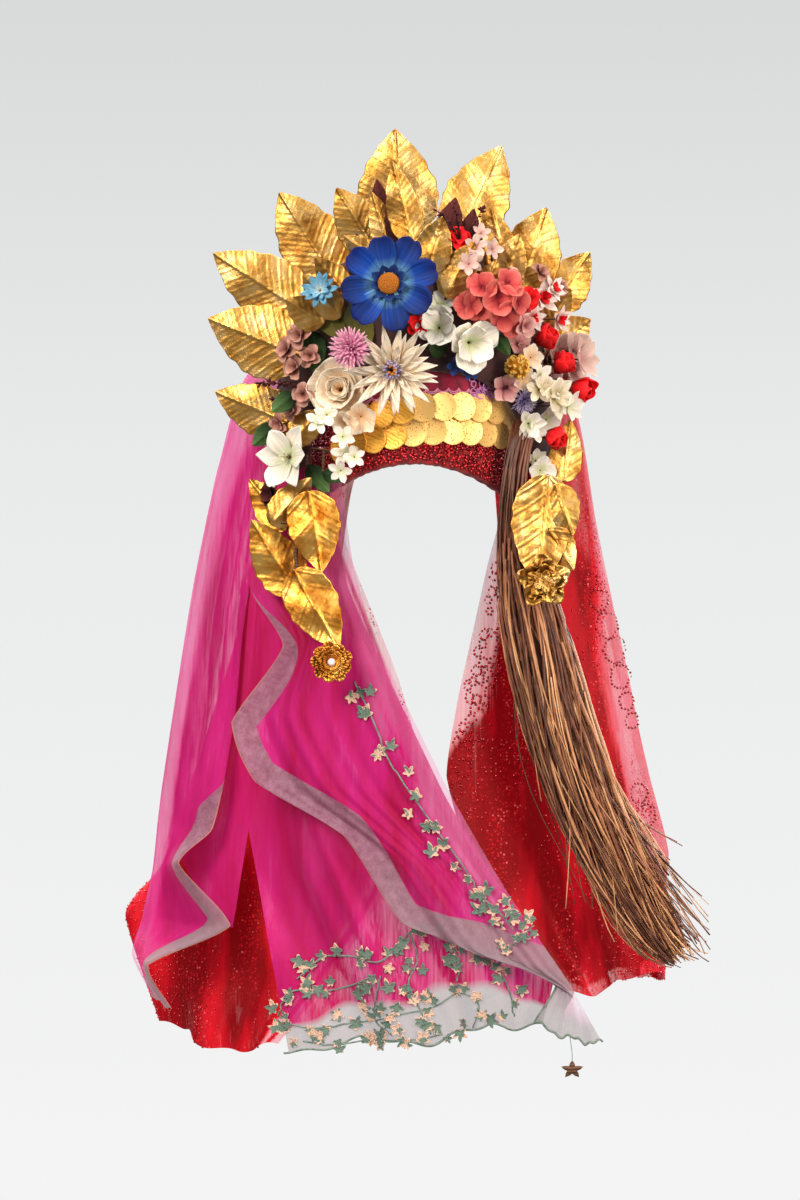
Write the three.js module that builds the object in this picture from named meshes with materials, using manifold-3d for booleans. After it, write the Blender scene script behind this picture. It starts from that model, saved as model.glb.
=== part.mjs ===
// Bridal headdress: a sequinned cap with two rows of coins, a padded crest that carries foil leaves
// and cloth flowers, foil pendants, a bundle of twigs and five hanging veil panels.
// Millimetres, +Z up. The front faces -Y and +X is the viewer's right. The origin is the middle of the
// head opening, level with the brow.

import * as THREE from 'three';
import { mergeVertices } from 'three/addons/utils/BufferGeometryUtils.js';
import Module from 'manifold-3d';

const wasm = await Module();
wasm.setup();

// Driving dimensions
const GAP = 0.4;
const CAP = { halfWidth: 97, halfDepth: 112, wall: 7, top: 138, rimFront: 14, rimDrop: 40, roundness: 0.44 };
const COIN = { radius: 11.5, thickness: 1.2, sides: 10, pitch: 19, lap: 0.9, arch: 17, archCentre: 0.3 };
const KERCHIEF = { low: 60, high: 97, reach: 80, thickness: 1.5, slack: 0.7 };
const CREST = {
  front: -116, sweep: 84, halfWidth: 125, height: 182, base: 20, innerHalfWidth: 95, innerHeight: 72,
  halfThickness: 6, edgeThinning: 1.5, reach: 95, squareness: 0.77, lastX: 118,
};
const FOIL = 1.0;
const STEM_RADIUS = 1.5;
const STEM_WIDTH = 3;
const WIRE_RADIUS = 1.7;
const PETAL = 1.8;
const VEIL_THICKNESS = 1.2;

// Finishes
const finish = (color, roughness, metalness = 0) => ({ color, roughness, metalness });
const GOLD = finish('#D9A93B', 0.3, 1);
const AMBER = finish('#C98A24', 0.32, 1);
const RED_SEQUIN = finish('#A5101A', 0.4);
const CRIMSON = finish('#7E1030', 0.85);
const MAROON = finish('#3A1216', 0.9);
const MAGENTA = finish('#D8208A', 0.7);
const RED_TULLE = finish('#D8121E', 0.75);
const TWIG = finish('#6B4326', 0.8);
const WIRE = finish('#5A3A20', 0.6);
const petal = (color) => finish(color, 0.8);

const vector = (x, y, z) => new THREE.Vector3(x, y, z);
const radians = THREE.MathUtils.degToRad;
const clamp = THREE.MathUtils.clamp;
const power = (value, exponent) => Math.sign(value) * Math.abs(value) ** exponent;

// Closed meshes and solids

function meshFrom(points, triangles) {
  const geometry = new THREE.BufferGeometry();
  const flat = points.flatMap((point) => [point.x, point.y, point.z]);
  geometry.setAttribute('position', new THREE.Float32BufferAttribute(flat, 3));
  geometry.setIndex(triangles);
  return geometry;
}

function solidFrom(geometry) {
  const bare = geometry.clone();
  bare.deleteAttribute('normal');
  bare.deleteAttribute('uv');
  const merged = mergeVertices(bare, 1e-4);
  const vertProperties = new Float32Array(merged.attributes.position.array);
  const triVerts = new Uint32Array(merged.index.array);
  const solid = new wasm.Manifold(new wasm.Mesh({ numProp: 3, vertProperties, triVerts }));
  if (solid.volume() > 0) return solid;
  triVerts.reverse();
  return new wasm.Manifold(new wasm.Mesh({ numProp: 3, vertProperties, triVerts }));
}

function geometryFrom(solid) {
  const { numProp, vertProperties, triVerts } = solid.getMesh();
  const points = [];
  for (let at = 0; at < vertProperties.length; at += numProp) {
    points.push(vector(vertProperties[at], vertProperties[at + 1], vertProperties[at + 2]));
  }
  return meshFrom(points, Array.from(triVerts));
}

const joined = (solids) => solids.reduce((whole, next) => whole.add(next));

// The largest body left when the pieces that carry this one, grown by the gap, are cut away from it.
function seated(solid, carriers) {
  const cut = carriers.reduce((rest, carrier) => rest.subtract(carrier), solid);
  return cut.decompose().sort((a, b) => b.volume() - a.volume())[0];
}

// A sheet of even thickness on a grid of points, rows by columns.
function sheet(grid, thickness) {
  const rows = grid.length;
  const columns = grid[0].length;
  const at = (row, column) => grid[clamp(row, 0, rows - 1)][clamp(column, 0, columns - 1)];
  const front = [];
  const back = [];
  for (let row = 0; row < rows; row += 1) {
    for (let column = 0; column < columns; column += 1) {
      const along = at(row + 1, column).clone().sub(at(row - 1, column));
      const across = at(row, column + 1).clone().sub(at(row, column - 1));
      const normal = across.cross(along).normalize().multiplyScalar(thickness / 2);
      front.push(grid[row][column].clone().add(normal));
      back.push(grid[row][column].clone().sub(normal));
    }
  }
  const count = rows * columns;
  const triangles = [];
  const quad = (a, b, c, d) => triangles.push(a, b, c, a, c, d);
  for (let row = 0; row + 1 < rows; row += 1) {
    for (let column = 0; column + 1 < columns; column += 1) {
      const a = row * columns + column;
      const d = a + columns;
      quad(a, a + 1, d + 1, d);
      quad(count + a, count + d, count + d + 1, count + a + 1);
    }
  }
  const rim = [];
  for (let column = 0; column + 1 < columns; column += 1) rim.push(column);
  for (let row = 0; row + 1 < rows; row += 1) rim.push(row * columns + columns - 1);
  for (let column = columns - 1; column > 0; column -= 1) rim.push((rows - 1) * columns + column);
  for (let row = rows - 1; row > 0; row -= 1) rim.push(row * columns);
  rim.forEach((a, index) => {
    const b = rim[(index + 1) % rim.length];
    quad(a, count + a, count + b, b);
  });
  return meshFrom([...front, ...back], triangles);
}

function polygon(radius, sides) {
  const corner = (index) => (2 * Math.PI * index) / sides;
  const corners = Array.from({ length: sides }, (_, index) => index);
  return new THREE.Shape(corners.map((index) => new THREE.Vector2(
    radius * Math.cos(corner(index)),
    radius * Math.sin(corner(index)),
  )));
}

function rod(points, radius, steps = 1, sides = 4) {
  const path = points.length === 2 ? new THREE.LineCurve3(...points) : new THREE.CatmullRomCurve3(points);
  return new THREE.ExtrudeGeometry(polygon(radius, sides), { steps, bevelEnabled: false, extrudePath: path });
}

// Cap

const rimHeight = (angle) => CAP.rimFront - CAP.rimDrop * Math.sin(angle) ** 2;

function capPoint(angle, lift, inset) {
  const rim = rimHeight(angle);
  const spread = Math.cos(lift) ** CAP.roundness;
  const rise = Math.sin(lift) ** CAP.roundness;
  return vector(
    (CAP.halfWidth - inset) * spread * Math.sin(angle),
    -(CAP.halfDepth - inset) * spread * Math.cos(angle),
    rim + (CAP.top - inset - rim) * rise,
  );
}

// The point on the cap's outside at a height, pushed out by an offset, and the way that it faces.
function capSeat(angle, height, offset) {
  const rim = rimHeight(angle);
  const rise = clamp((height - rim) / (CAP.top - rim), 0, 1);
  const lift = Math.asin(rise ** (1 / CAP.roundness));
  const facing = vector(Math.sin(angle) / CAP.halfWidth, -Math.cos(angle) / CAP.halfDepth, 0).normalize();
  const place = capPoint(angle, lift, 0).addScaledVector(facing, offset);
  place.z = height;
  return { place, facing };
}

function cap(grow) {
  const lifts = [0, 6, 22, 42, 62, 79].map(radians);
  const around = 24;
  const points = [];
  const triangles = [];
  for (const inset of [0, CAP.wall]) {
    for (const lift of lifts) {
      for (let step = 0; step < around; step += 1) {
        points.push(capPoint((2 * Math.PI * step) / around, lift, inset - grow));
      }
    }
    points.push(vector(0, 0, CAP.top - inset + grow));
  }
  const shell = lifts.length * around + 1;
  const index = (side, ring, step) => side * shell + ring * around + (step % around);
  for (let step = 0; step < around; step += 1) {
    for (let ring = 0; ring + 1 < lifts.length; ring += 1) {
      const outer = [0, 1].map((turn) => [index(0, ring, step + turn), index(0, ring + 1, step + turn)]);
      const inner = [0, 1].map((turn) => [index(1, ring, step + turn), index(1, ring + 1, step + turn)]);
      triangles.push(outer[0][0], outer[1][0], outer[1][1], outer[0][0], outer[1][1], outer[0][1]);
      triangles.push(inner[0][0], inner[1][1], inner[1][0], inner[0][0], inner[0][1], inner[1][1]);
    }
    const last = lifts.length - 1;
    triangles.push(index(0, last, step), index(0, last, step + 1), shell - 1);
    triangles.push(index(1, last, step + 1), index(1, last, step), 2 * shell - 1);
    const rim = [index(0, 0, step), index(0, 0, step + 1), index(1, 0, step + 1), index(1, 0, step)];
    triangles.push(rim[0], rim[2], rim[1], rim[0], rim[3], rim[2]);
  }
  return solidFrom(meshFrom(points, triangles));
}

// Kerchief strip and coins on the cap

function kerchiefBand() {
  const offset = GAP + KERCHIEF.slack + KERCHIEF.thickness / 2;
  const heights = [KERCHIEF.low, (KERCHIEF.low + KERCHIEF.high) / 2, KERCHIEF.high];
  const angles = Array.from({ length: 13 }, (_, step) => radians(KERCHIEF.reach * (step / 6 - 1)));
  return solidFrom(sheet(
    heights.map((height) => angles.map((angle) => capSeat(angle, height, offset).place)),
    KERCHIEF.thickness,
  ));
}

const COIN_ROWS = [
  { name: 'coin_row_upper', crown: 61, offset: 4.2, first: -38, coins: 10 },
  { name: 'coin_row_lower', crown: 40, offset: 1.3, first: -43, coins: 11 },
];

function coinRow({ crown, offset, first, coins }) {
  const step = COIN.pitch / ((CAP.halfWidth + CAP.halfDepth) / 2);
  const discs = Array.from({ length: coins }, (_, number) => {
    const angle = radians(first) + number * step;
    const height = crown - COIN.arch * (Math.sin(angle) - COIN.archCentre) ** 2;
    const { place, facing } = capSeat(angle, height, offset + COIN.lap * (number % 2));
    const disc = new THREE.CylinderGeometry(COIN.radius, COIN.radius, COIN.thickness, COIN.sides);
    const turn = new THREE.Quaternion().setFromUnitVectors(vector(0, 1, 0), facing);
    disc.applyQuaternion(turn);
    disc.translate(place.x, place.y, place.z);
    return solidFrom(disc);
  });
  return joined(discs);
}

// Crest

const crestY = (x) => CREST.front + CREST.sweep * (Math.min(Math.abs(x), CREST.lastX) / CREST.halfWidth) ** 2;

// The way that the crest faces at x, level, out of its front.
function crestFacing(x) {
  const slope = (2 * CREST.sweep * clamp(x, -CREST.lastX, CREST.lastX)) / CREST.halfWidth ** 2;
  return vector(slope, -1, 0).normalize();
}

function crest(grow) {
  const sections = 20;
  const stations = [0, 0.3, 0.65, 1];
  const reach = radians(CREST.reach) + grow / CREST.halfWidth;
  const faces = [-1, 1].map((side) => stations.map((station) => {
    const row = [];
    for (let section = 0; section <= sections; section += 1) {
      const angle = reach * ((2 * section) / sections - 1);
      const sine = power(Math.sin(angle), CREST.squareness);
      const cosine = power(Math.cos(angle), CREST.squareness);
      const border = grow * (2 * station - 1);
      const width = THREE.MathUtils.lerp(CREST.innerHalfWidth, CREST.halfWidth, station) + border;
      const height = THREE.MathUtils.lerp(CREST.innerHeight, CREST.height, station) + border;
      const thinning = CREST.edgeThinning * (2 * station - 1) ** 2;
      const half = CREST.halfThickness - thinning + grow;
      const x = width * sine;
      const middle = CREST.front + CREST.sweep * (x / CREST.halfWidth) ** 2;
      row.push(vector(x, middle, CREST.base + height * cosine).addScaledVector(crestFacing(x), -side * half));
    }
    return row;
  }));
  const columns = sections + 1;
  const count = stations.length * columns;
  const triangles = [];
  const quad = (a, b, c, d) => triangles.push(a, b, c, a, c, d);
  for (let row = 0; row + 1 < stations.length; row += 1) {
    for (let column = 0; column < sections; column += 1) {
      const a = row * columns + column;
      quad(a, a + 1, a + columns + 1, a + columns);
      quad(count + a, count + a + columns, count + a + columns + 1, count + a + 1);
    }
  }
  const rim = [];
  for (let column = 0; column < sections; column += 1) rim.push(column);
  for (let row = 0; row + 1 < stations.length; row += 1) rim.push(row * columns + sections);
  for (let column = sections; column > 0; column -= 1) rim.push(count - columns + column);
  for (let row = stations.length - 1; row > 0; row -= 1) rim.push(row * columns);
  rim.forEach((a, index) => {
    const b = rim[(index + 1) % rim.length];
    quad(a, count + a, count + b, b);
  });
  return solidFrom(meshFrom(faces.flat(2), triangles));
}

// Foil leaves: ovate blades folded along the midrib, on wire stems.

const BLADE = [
  { along: 0, breadth: 0.12 },
  { along: 0.16, breadth: 0.74 },
  { along: 0.36, breadth: 1 },
  { along: 0.62, breadth: 0.84 },
  { along: 0.83, breadth: 0.46 },
  { along: 1, breadth: 0.04 },
];
const FOLD = 0.09;

// The stem is a narrow strip from the seat to the blade's base.
function leaf({ seat, base, tip, width }) {
  const lengthwise = tip.clone().sub(base);
  const length = lengthwise.length();
  lengthwise.normalize();
  const facing = vector(0, -1, 0).addScaledVector(lengthwise, lengthwise.y).normalize();
  const sideways = lengthwise.clone().cross(facing);
  const sides = [-1, 0, 1];
  const stem = sides.map((side) => seat.clone().addScaledVector(sideways, (side * STEM_WIDTH) / 2));
  const blade = BLADE.map(({ along, breadth }) => sides.map((side) => {
    const half = (side * breadth * width) / 2;
    return base.clone()
      .addScaledVector(lengthwise, along * length)
      .addScaledVector(sideways, half)
      .addScaledVector(facing, -2 * FOLD * Math.abs(half));
  }));
  return solidFrom(sheet([stem, ...blade], FOIL));
}

// Front view places in x and z. Depth is from the crest's middle, back being positive, and lean is how far
// the tip lies behind the base. The stem runs from the base to the anchor inside the crest.
const CROWN_LEAVES = [
  { name: 'top', tip: [-18, 308], base: [-14, 210], width: 70, depth: 22, lean: 6, anchor: [-13, 184] },
  { name: 'top_front', tip: [-20, 277], base: [-3, 204], width: 30, depth: -9, lean: 2, anchor: [0, 180] },
  { name: 'top_right', tip: [77, 294], base: [40, 213], width: 57, depth: 15, lean: 20, anchor: [32, 180] },
  { name: 'top_left', tip: [-70, 255], base: [-33, 196], width: 42, depth: 9, lean: 4, anchor: [-30, 176] },
  {
    name: 'upper_left', tip: [-122, 254], base: [-72, 176], width: 58, depth: 24, lean: 12,
    anchor: [-66, 160],
  },
  { name: 'left', tip: [-181, 199], base: [-98, 146], width: 57, depth: -8, lean: 14, anchor: [-92, 142] },
  {
    name: 'mid_left', tip: [-185, 140], base: [-100, 106], width: 64, depth: -22, lean: 12,
    anchor: [-96, 104],
  },
  {
    name: 'low_left', tip: [-180, 75], base: [-114, 48], width: 45, depth: -10, lean: 10,
    anchor: [-108, 46],
  },
  { name: 'upper_right', tip: [118, 240], base: [94, 168], width: 54, depth: 9, lean: 8, anchor: [84, 146] },
  { name: 'right', tip: [158, 201], base: [121, 150], width: 43, depth: 4, lean: 8, anchor: [94, 134] },
  { name: 'low_right', tip: [159, 141], base: [127, 118], width: 34, depth: 12, lean: 6, anchor: [108, 108] },
  { name: 'inner_right', tip: [68, 237], base: [80, 182], width: 28, depth: -12, lean: 0, anchor: [80, 160] },
  {
    name: 'inner_left', tip: [-89, 193], base: [-60, 160], width: 27, depth: -9, lean: 2,
    anchor: [-56, 156],
  },
];

function crownLeaf({ tip, base, width, depth, lean, anchor }) {
  const root = vector(base[0], crestY(base[0]) + depth, base[1]);
  const end = vector(tip[0], root.y + lean, tip[1]);
  const seat = vector(anchor[0], crestY(anchor[0]), anchor[1]);
  return leaf({ seat, base: root, tip: end, width });
}

// Cloth flowers: lobed bowls on stems, buds and balls.

// Small ones are a plain lobed cone, and the large ones have a ring more.
const LARGE = 30;

function lobedBowl({ radius, petals, depth, notch = 0.62, start = 0 }) {
  const perPetal = petals > 6 ? 2 : 3;
  const around = petals * perPetal;
  const inner = radius > LARGE ? [{ reach: 0.42, rise: 0.2 }] : [];
  const rings = [...inner, { reach: 1, rise: 1 }];
  const points = [];
  for (const lower of [0, PETAL]) {
    points.push(vector(0, 0, start - lower));
    for (const { reach, rise } of rings) {
      for (let step = 0; step < around; step += 1) {
        const angle = (2 * Math.PI * step) / around;
        const lobe = step % perPetal === 0 && reach === 1 ? notch : 1;
        const out = radius * reach * lobe;
        const height = start + depth * rise * lobe - lower;
        points.push(vector(out * Math.cos(angle), out * Math.sin(angle), height));
      }
    }
  }
  const side = 1 + rings.length * around;
  const triangles = [];
  for (let step = 0; step < around; step += 1) {
    const next = (step + 1) % around;
    triangles.push(0, 1 + step, 1 + next, side, side + 1 + next, side + 1 + step);
    for (let ring = 0; ring + 1 < rings.length; ring += 1) {
      const [a, b] = [1 + ring * around + step, 1 + ring * around + next];
      const [d, c] = [a + around, b + around];
      triangles.push(a, d, c, a, c, b, side + a, side + c, side + d, side + a, side + b, side + c);
    }
    const [a, b] = [side - around + step, side - around + next];
    triangles.push(a, side + a, side + b, a, side + b, b);
  }
  return solidFrom(meshFrom(points, triangles));
}

function turned(profile, sides = 7) {
  const lathe = new THREE.LatheGeometry(profile.map(([r, z]) => new THREE.Vector2(r, z)), sides);
  lathe.rotateX(Math.PI / 2);
  return solidFrom(lathe);
}

const SHAPES = {
  bowl: ({ radius, petals, depth }) => lobedBowl({ radius, petals, depth }),
  double: ({ radius, petals, depth }) => joined([
    lobedBowl({ radius, petals, depth }),
    lobedBowl({ radius: 0.62 * radius, petals, depth: depth * 0.9, start: PETAL * 0.8 }),
  ]),
  eyed: ({ radius, petals, depth }) => joined([
    lobedBowl({ radius, petals, depth }),
    turned([[0, -1], [0.21 * radius, -1], [0.21 * radius, 4], [0.1 * radius, 7], [0, 7]]),
  ]),
  bud: ({ radius, depth }) => turned([
    [0, -0.1 * depth], [0.6 * radius, 0], [radius, 0.35 * depth], [0.8 * radius, 0.8 * depth], [0, depth],
  ]),
};

// Front view places in x and z, out being how far the flower's back stands forward of the crest's face.
// The stem runs to the anchor inside the crest, which lies straight behind where none is given.
const FLOWERS = [
  {
    name: 'blue_cosmos', shape: 'eyed', color: '#1F4FA8',
    x: -23, z: 168, out: 34, radius: 47, petals: 8, depth: 10,
  },
  {
    name: 'sky_floret', shape: 'bowl', color: '#5FA3D8',
    x: -86, z: 165, out: 27, radius: 16, petals: 5, depth: 5,
  },
  {
    name: 'white_freesia', shape: 'bowl', color: '#F2EFE6',
    x: 36, z: 124, out: 9, radius: 37, petals: 5, depth: 9,
  },
  {
    name: 'coral_florets', shape: 'double', color: '#D9666A',
    x: 70, z: 157, out: 40, radius: 30, petals: 6, depth: 9,
  },
  {
    name: 'blush_bloom', shape: 'bowl', color: '#F0D4D0',
    x: 111, z: 158, out: 12, radius: 23, petals: 5, depth: 6, anchor: [92, 146],
  },
  {
    name: 'pale_petals', shape: 'bowl', color: '#F3E6E4',
    x: 143, z: 112, out: -10, radius: 20, petals: 4, depth: 6, anchor: [106, 106],
  },
  {
    name: 'rosebud_upper', shape: 'bud', color: '#C8101C',
    x: 113, z: 123, out: 14, radius: 12.5, depth: 23, anchor: [104, 122],
  },
  {
    name: 'rosebud_middle', shape: 'bud', color: '#C8101C',
    x: 129, z: 100, out: 15, radius: 12.5, depth: 23, anchor: [112, 96],
  },
  {
    name: 'rosebud_right', shape: 'bud', color: '#B40E1A',
    x: 147, z: 75, out: 4, radius: 13, depth: 24, anchor: [112, 80],
  },
  {
    name: 'rosebud_low', shape: 'bud', color: '#C8101C',
    x: 121, z: 33, out: 22, radius: 12, depth: 22, anchor: [113, 33],
  },
  {
    name: 'cream_bloom', shape: 'bowl', color: '#F2E9D8',
    x: 124, z: 70, out: 36, radius: 22, petals: 6, depth: 7, anchor: [110, 62],
  },
  {
    name: 'yellow_ball', shape: 'bud', color: '#E0B23A',
    x: 87, z: 96, out: 16, radius: 10, depth: 19,
  },
  {
    name: 'dusty_bloom', shape: 'bowl', color: '#C98A94',
    x: 92, z: 117, out: 3, radius: 13, petals: 5, depth: 4,
  },
  {
    name: 'pink_bloom', shape: 'bowl', color: '#D98FA0',
    x: 80, z: 78, out: 5, radius: 15, petals: 5, depth: 5, anchor: [80, 82],
  },
  {
    name: 'peach_rose', shape: 'double', color: '#EBCBAF',
    x: -66, z: 76, out: 5, radius: 31, petals: 5, depth: 13, anchor: [-66, 90],
  },
  {
    name: 'mauve_mum', shape: 'double', color: '#D48BB4',
    x: -57, z: 111, out: 52, radius: 18, petals: 10, depth: 5, anchor: [-68, 121],
  },
  {
    name: 'cream_dahlia', shape: 'eyed', color: '#EFDCC0',
    x: -20, z: 92, out: 23, radius: 43, petals: 11, depth: 7, anchor: [-20, 104],
  },
  {
    name: 'blossom_upper', shape: 'bowl', color: '#F4EFEA',
    x: -85, z: 47, out: 44, radius: 10, petals: 5, depth: 3, anchor: [-97, 56],
  },
  {
    name: 'blossom_lower', shape: 'bowl', color: '#F4EFEA',
    x: -62, z: 19, out: 16, radius: 13, petals: 5, depth: 4, anchor: [-99, 24],
  },
  {
    name: 'white_lily', shape: 'bowl', color: '#F4F2EC',
    x: -112, z: 16, out: 34, radius: 34, petals: 6, depth: 9,
  },
  {
    name: 'dried_rose', shape: 'bowl', color: '#A8756C',
    x: -102, z: 124, out: 30, radius: 13, petals: 5, depth: 5, anchor: [-86, 124],
  },
  {
    name: 'blush_sprig', shape: 'bowl', color: '#F0D8D8',
    x: 53, z: 202, out: 20, radius: 15, petals: 5, depth: 5, anchor: [46, 184],
  },
  {
    name: 'low_white_bloom', shape: 'bowl', color: '#F4F0EA',
    x: 108, z: 12, out: 5, radius: 13, petals: 5, depth: 5, anchor: [108, 20],
  },
];

// How far a flower at the side turns outward with the crest.
const FLOWER_TURN = 0.5;

// Moves a shape made along +Z to a place, with its axis along a direction.
function aimed(solid, place, axis) {
  const sideways = vector(0, 0, 1).cross(axis).normalize();
  const upright = axis.clone().cross(sideways);
  const frame = new THREE.Matrix4().makeBasis(sideways, upright, axis).setPosition(place);
  return solid.transform(frame.elements);
}

function flower({ shape, x, z, out, anchor = [x, z], ...sizes }) {
  const facing = crestFacing(FLOWER_TURN * x);
  const place = vector(x, crestY(x) - CREST.halfThickness - out, z);
  const seat = vector(anchor[0], crestY(anchor[0]), anchor[1]);
  const grip = place.clone().addScaledVector(facing, -0.3);
  const stem = solidFrom(rod([grip, seat], STEM_RADIUS));
  return joined([aimed(SHAPES[shape](sizes), place, facing), stem]);
}

// One olive leaf shows between the flowers on the left.
const OLIVE_LEAF = {
  tip: [-66, 120], base: [-84, 158], width: 26, depth: -12, lean: -20, anchor: [-88, 152],
};

// Pendants: a wire at each temple with foil leaves and a rosette. Points are x, y and z.
const PENDANTS = [
  {
    side: 'left',
    wire: [
      [-106, -57, 14], [-106, -72, 11], [-105, -79, -6],
      [-101, -97, -40], [-105, -100, -83], [-76, -112, -162],
    ],
    leaves: [
      {
        part: 'upper_leaf', tip: [-83, -110, -86], base: [-95, -106, -14], width: 44,
        seat: [-102, -93, -32],
      },
      {
        part: 'side_leaf', tip: [-146, -88, -40], base: [-106, -92, -106], width: 41,
        seat: [-99, -103, -104],
      },
      {
        part: 'lower_leaf', tip: [-68, -124, -154], base: [-108, -111, -84], width: 43,
        seat: [-105, -100, -84],
      },
      { part: 'back_leaf', tip: [-148, -70, -4], base: [-114, -88, -48], width: 30, seat: [-101, -98, -46] },
    ],
    rosette: { place: [-74, -127, -165], radius: 18, petals: 8, depth: 7, seat: [-77, -111, -158] },
  },
  {
    side: 'right',
    wire: [[119, -40, 12], [122, -58, 0], [120, -100, -14], [119, -112, -40], [122, -121, -90]],
    leaves: [
      { part: 'upper_leaf', tip: [107, -135, -98], base: [117, -121, 0], width: 52, seat: [120, -104, -18] },
      { part: 'back_leaf', tip: [140, -58, 50], base: [132, -70, -6], width: 28, seat: [122, -72, -6] },
    ],
    rosette: { place: [113, -141, -93], radius: 22, petals: 8, depth: 7, seat: [122, -120, -86] },
  },
];

const triple = ([x, y, z]) => vector(x, y, z);

function pendantWire(points, grow) {
  const route = points.map(triple);
  const [before, last] = route.slice(-2);
  last.addScaledVector(last.clone().sub(before).normalize(), grow);
  return solidFrom(rod(route, WIRE_RADIUS + grow, 9, 5));
}

function pendantLeaf({ tip, base, width, seat }) {
  return leaf({ seat: triple(seat), base: triple(base), tip: triple(tip), width });
}

function rosette({ place, radius, petals, depth, seat }) {
  const stem = solidFrom(rod([triple(place), triple(seat)], STEM_RADIUS));
  return joined([aimed(SHAPES.eyed({ radius, petals, depth }), triple(place), vector(0, -1, 0)), stem]);
}

// Twig bundle: a bound head at the temple that fans into locks.
const TWIGS = [
  { x: 98, y: -77, z: 46, halfWidth: 9, halfDepth: 7 },
  { x: 89, y: -90, z: 4, halfWidth: 11, halfDepth: 9 },
  { x: 87, y: -96, z: -56, halfWidth: 14, halfDepth: 11 },
  { x: 97, y: -100, z: -105, halfWidth: 25, halfDepth: 15 },
  { x: 111, y: -104, z: -160, halfWidth: 31, halfDepth: 18 },
  { x: 127, y: -108, z: -220, halfWidth: 32, halfDepth: 20 },
  { x: 147, y: -111, z: -280, halfWidth: 32, halfDepth: 20 },
  { x: 172, y: -113, z: -335, halfWidth: 31, halfDepth: 18 },
  { x: 197, y: -112, z: -382, halfWidth: 27, halfDepth: 14 },
  { x: 222, y: -110, z: -418, halfWidth: 20, halfDepth: 9 },
  { x: 236, y: -108, z: -434, halfWidth: 9, halfDepth: 5 },
];
const LOCKS = { count: 7, depth: 0.16, twist: 1.3 };

function twigBundle() {
  const around = LOCKS.count * 2;
  const middles = TWIGS.map(({ x, y, z }) => vector(x, y, z));
  const points = [];
  TWIGS.forEach(({ halfWidth, halfDepth }, row) => {
    const before = middles[Math.max(row - 1, 0)];
    const after = middles[Math.min(row + 1, TWIGS.length - 1)];
    const along = after.clone().sub(before).normalize();
    const backward = vector(0, 1, 0).addScaledVector(along, -along.y).normalize();
    const sideways = backward.clone().cross(along);
    const share = row / (TWIGS.length - 1);
    for (let step = 0; step < around; step += 1) {
      const angle = (2 * Math.PI * step) / around + LOCKS.twist * share;
      const lock = step % 2 === 0 ? 1 : 1 - LOCKS.depth;
      points.push(middles[row].clone()
        .addScaledVector(sideways, halfWidth * lock * Math.cos(angle))
        .addScaledVector(backward, halfDepth * lock * Math.sin(angle)));
    }
  });
  const triangles = [];
  for (let row = 0; row + 1 < TWIGS.length; row += 1) {
    for (let step = 0; step < around; step += 1) {
      const next = (step + 1) % around;
      const [a, b] = [row * around + step, row * around + next];
      triangles.push(a, b, b + around, a, b + around, a + around);
    }
  }
  const last = (TWIGS.length - 1) * around;
  for (let step = 1; step + 1 < around; step += 1) {
    triangles.push(0, step + 1, step, last, last + step, last + step + 1);
  }
  return solidFrom(meshFrom(points, triangles));
}

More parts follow.
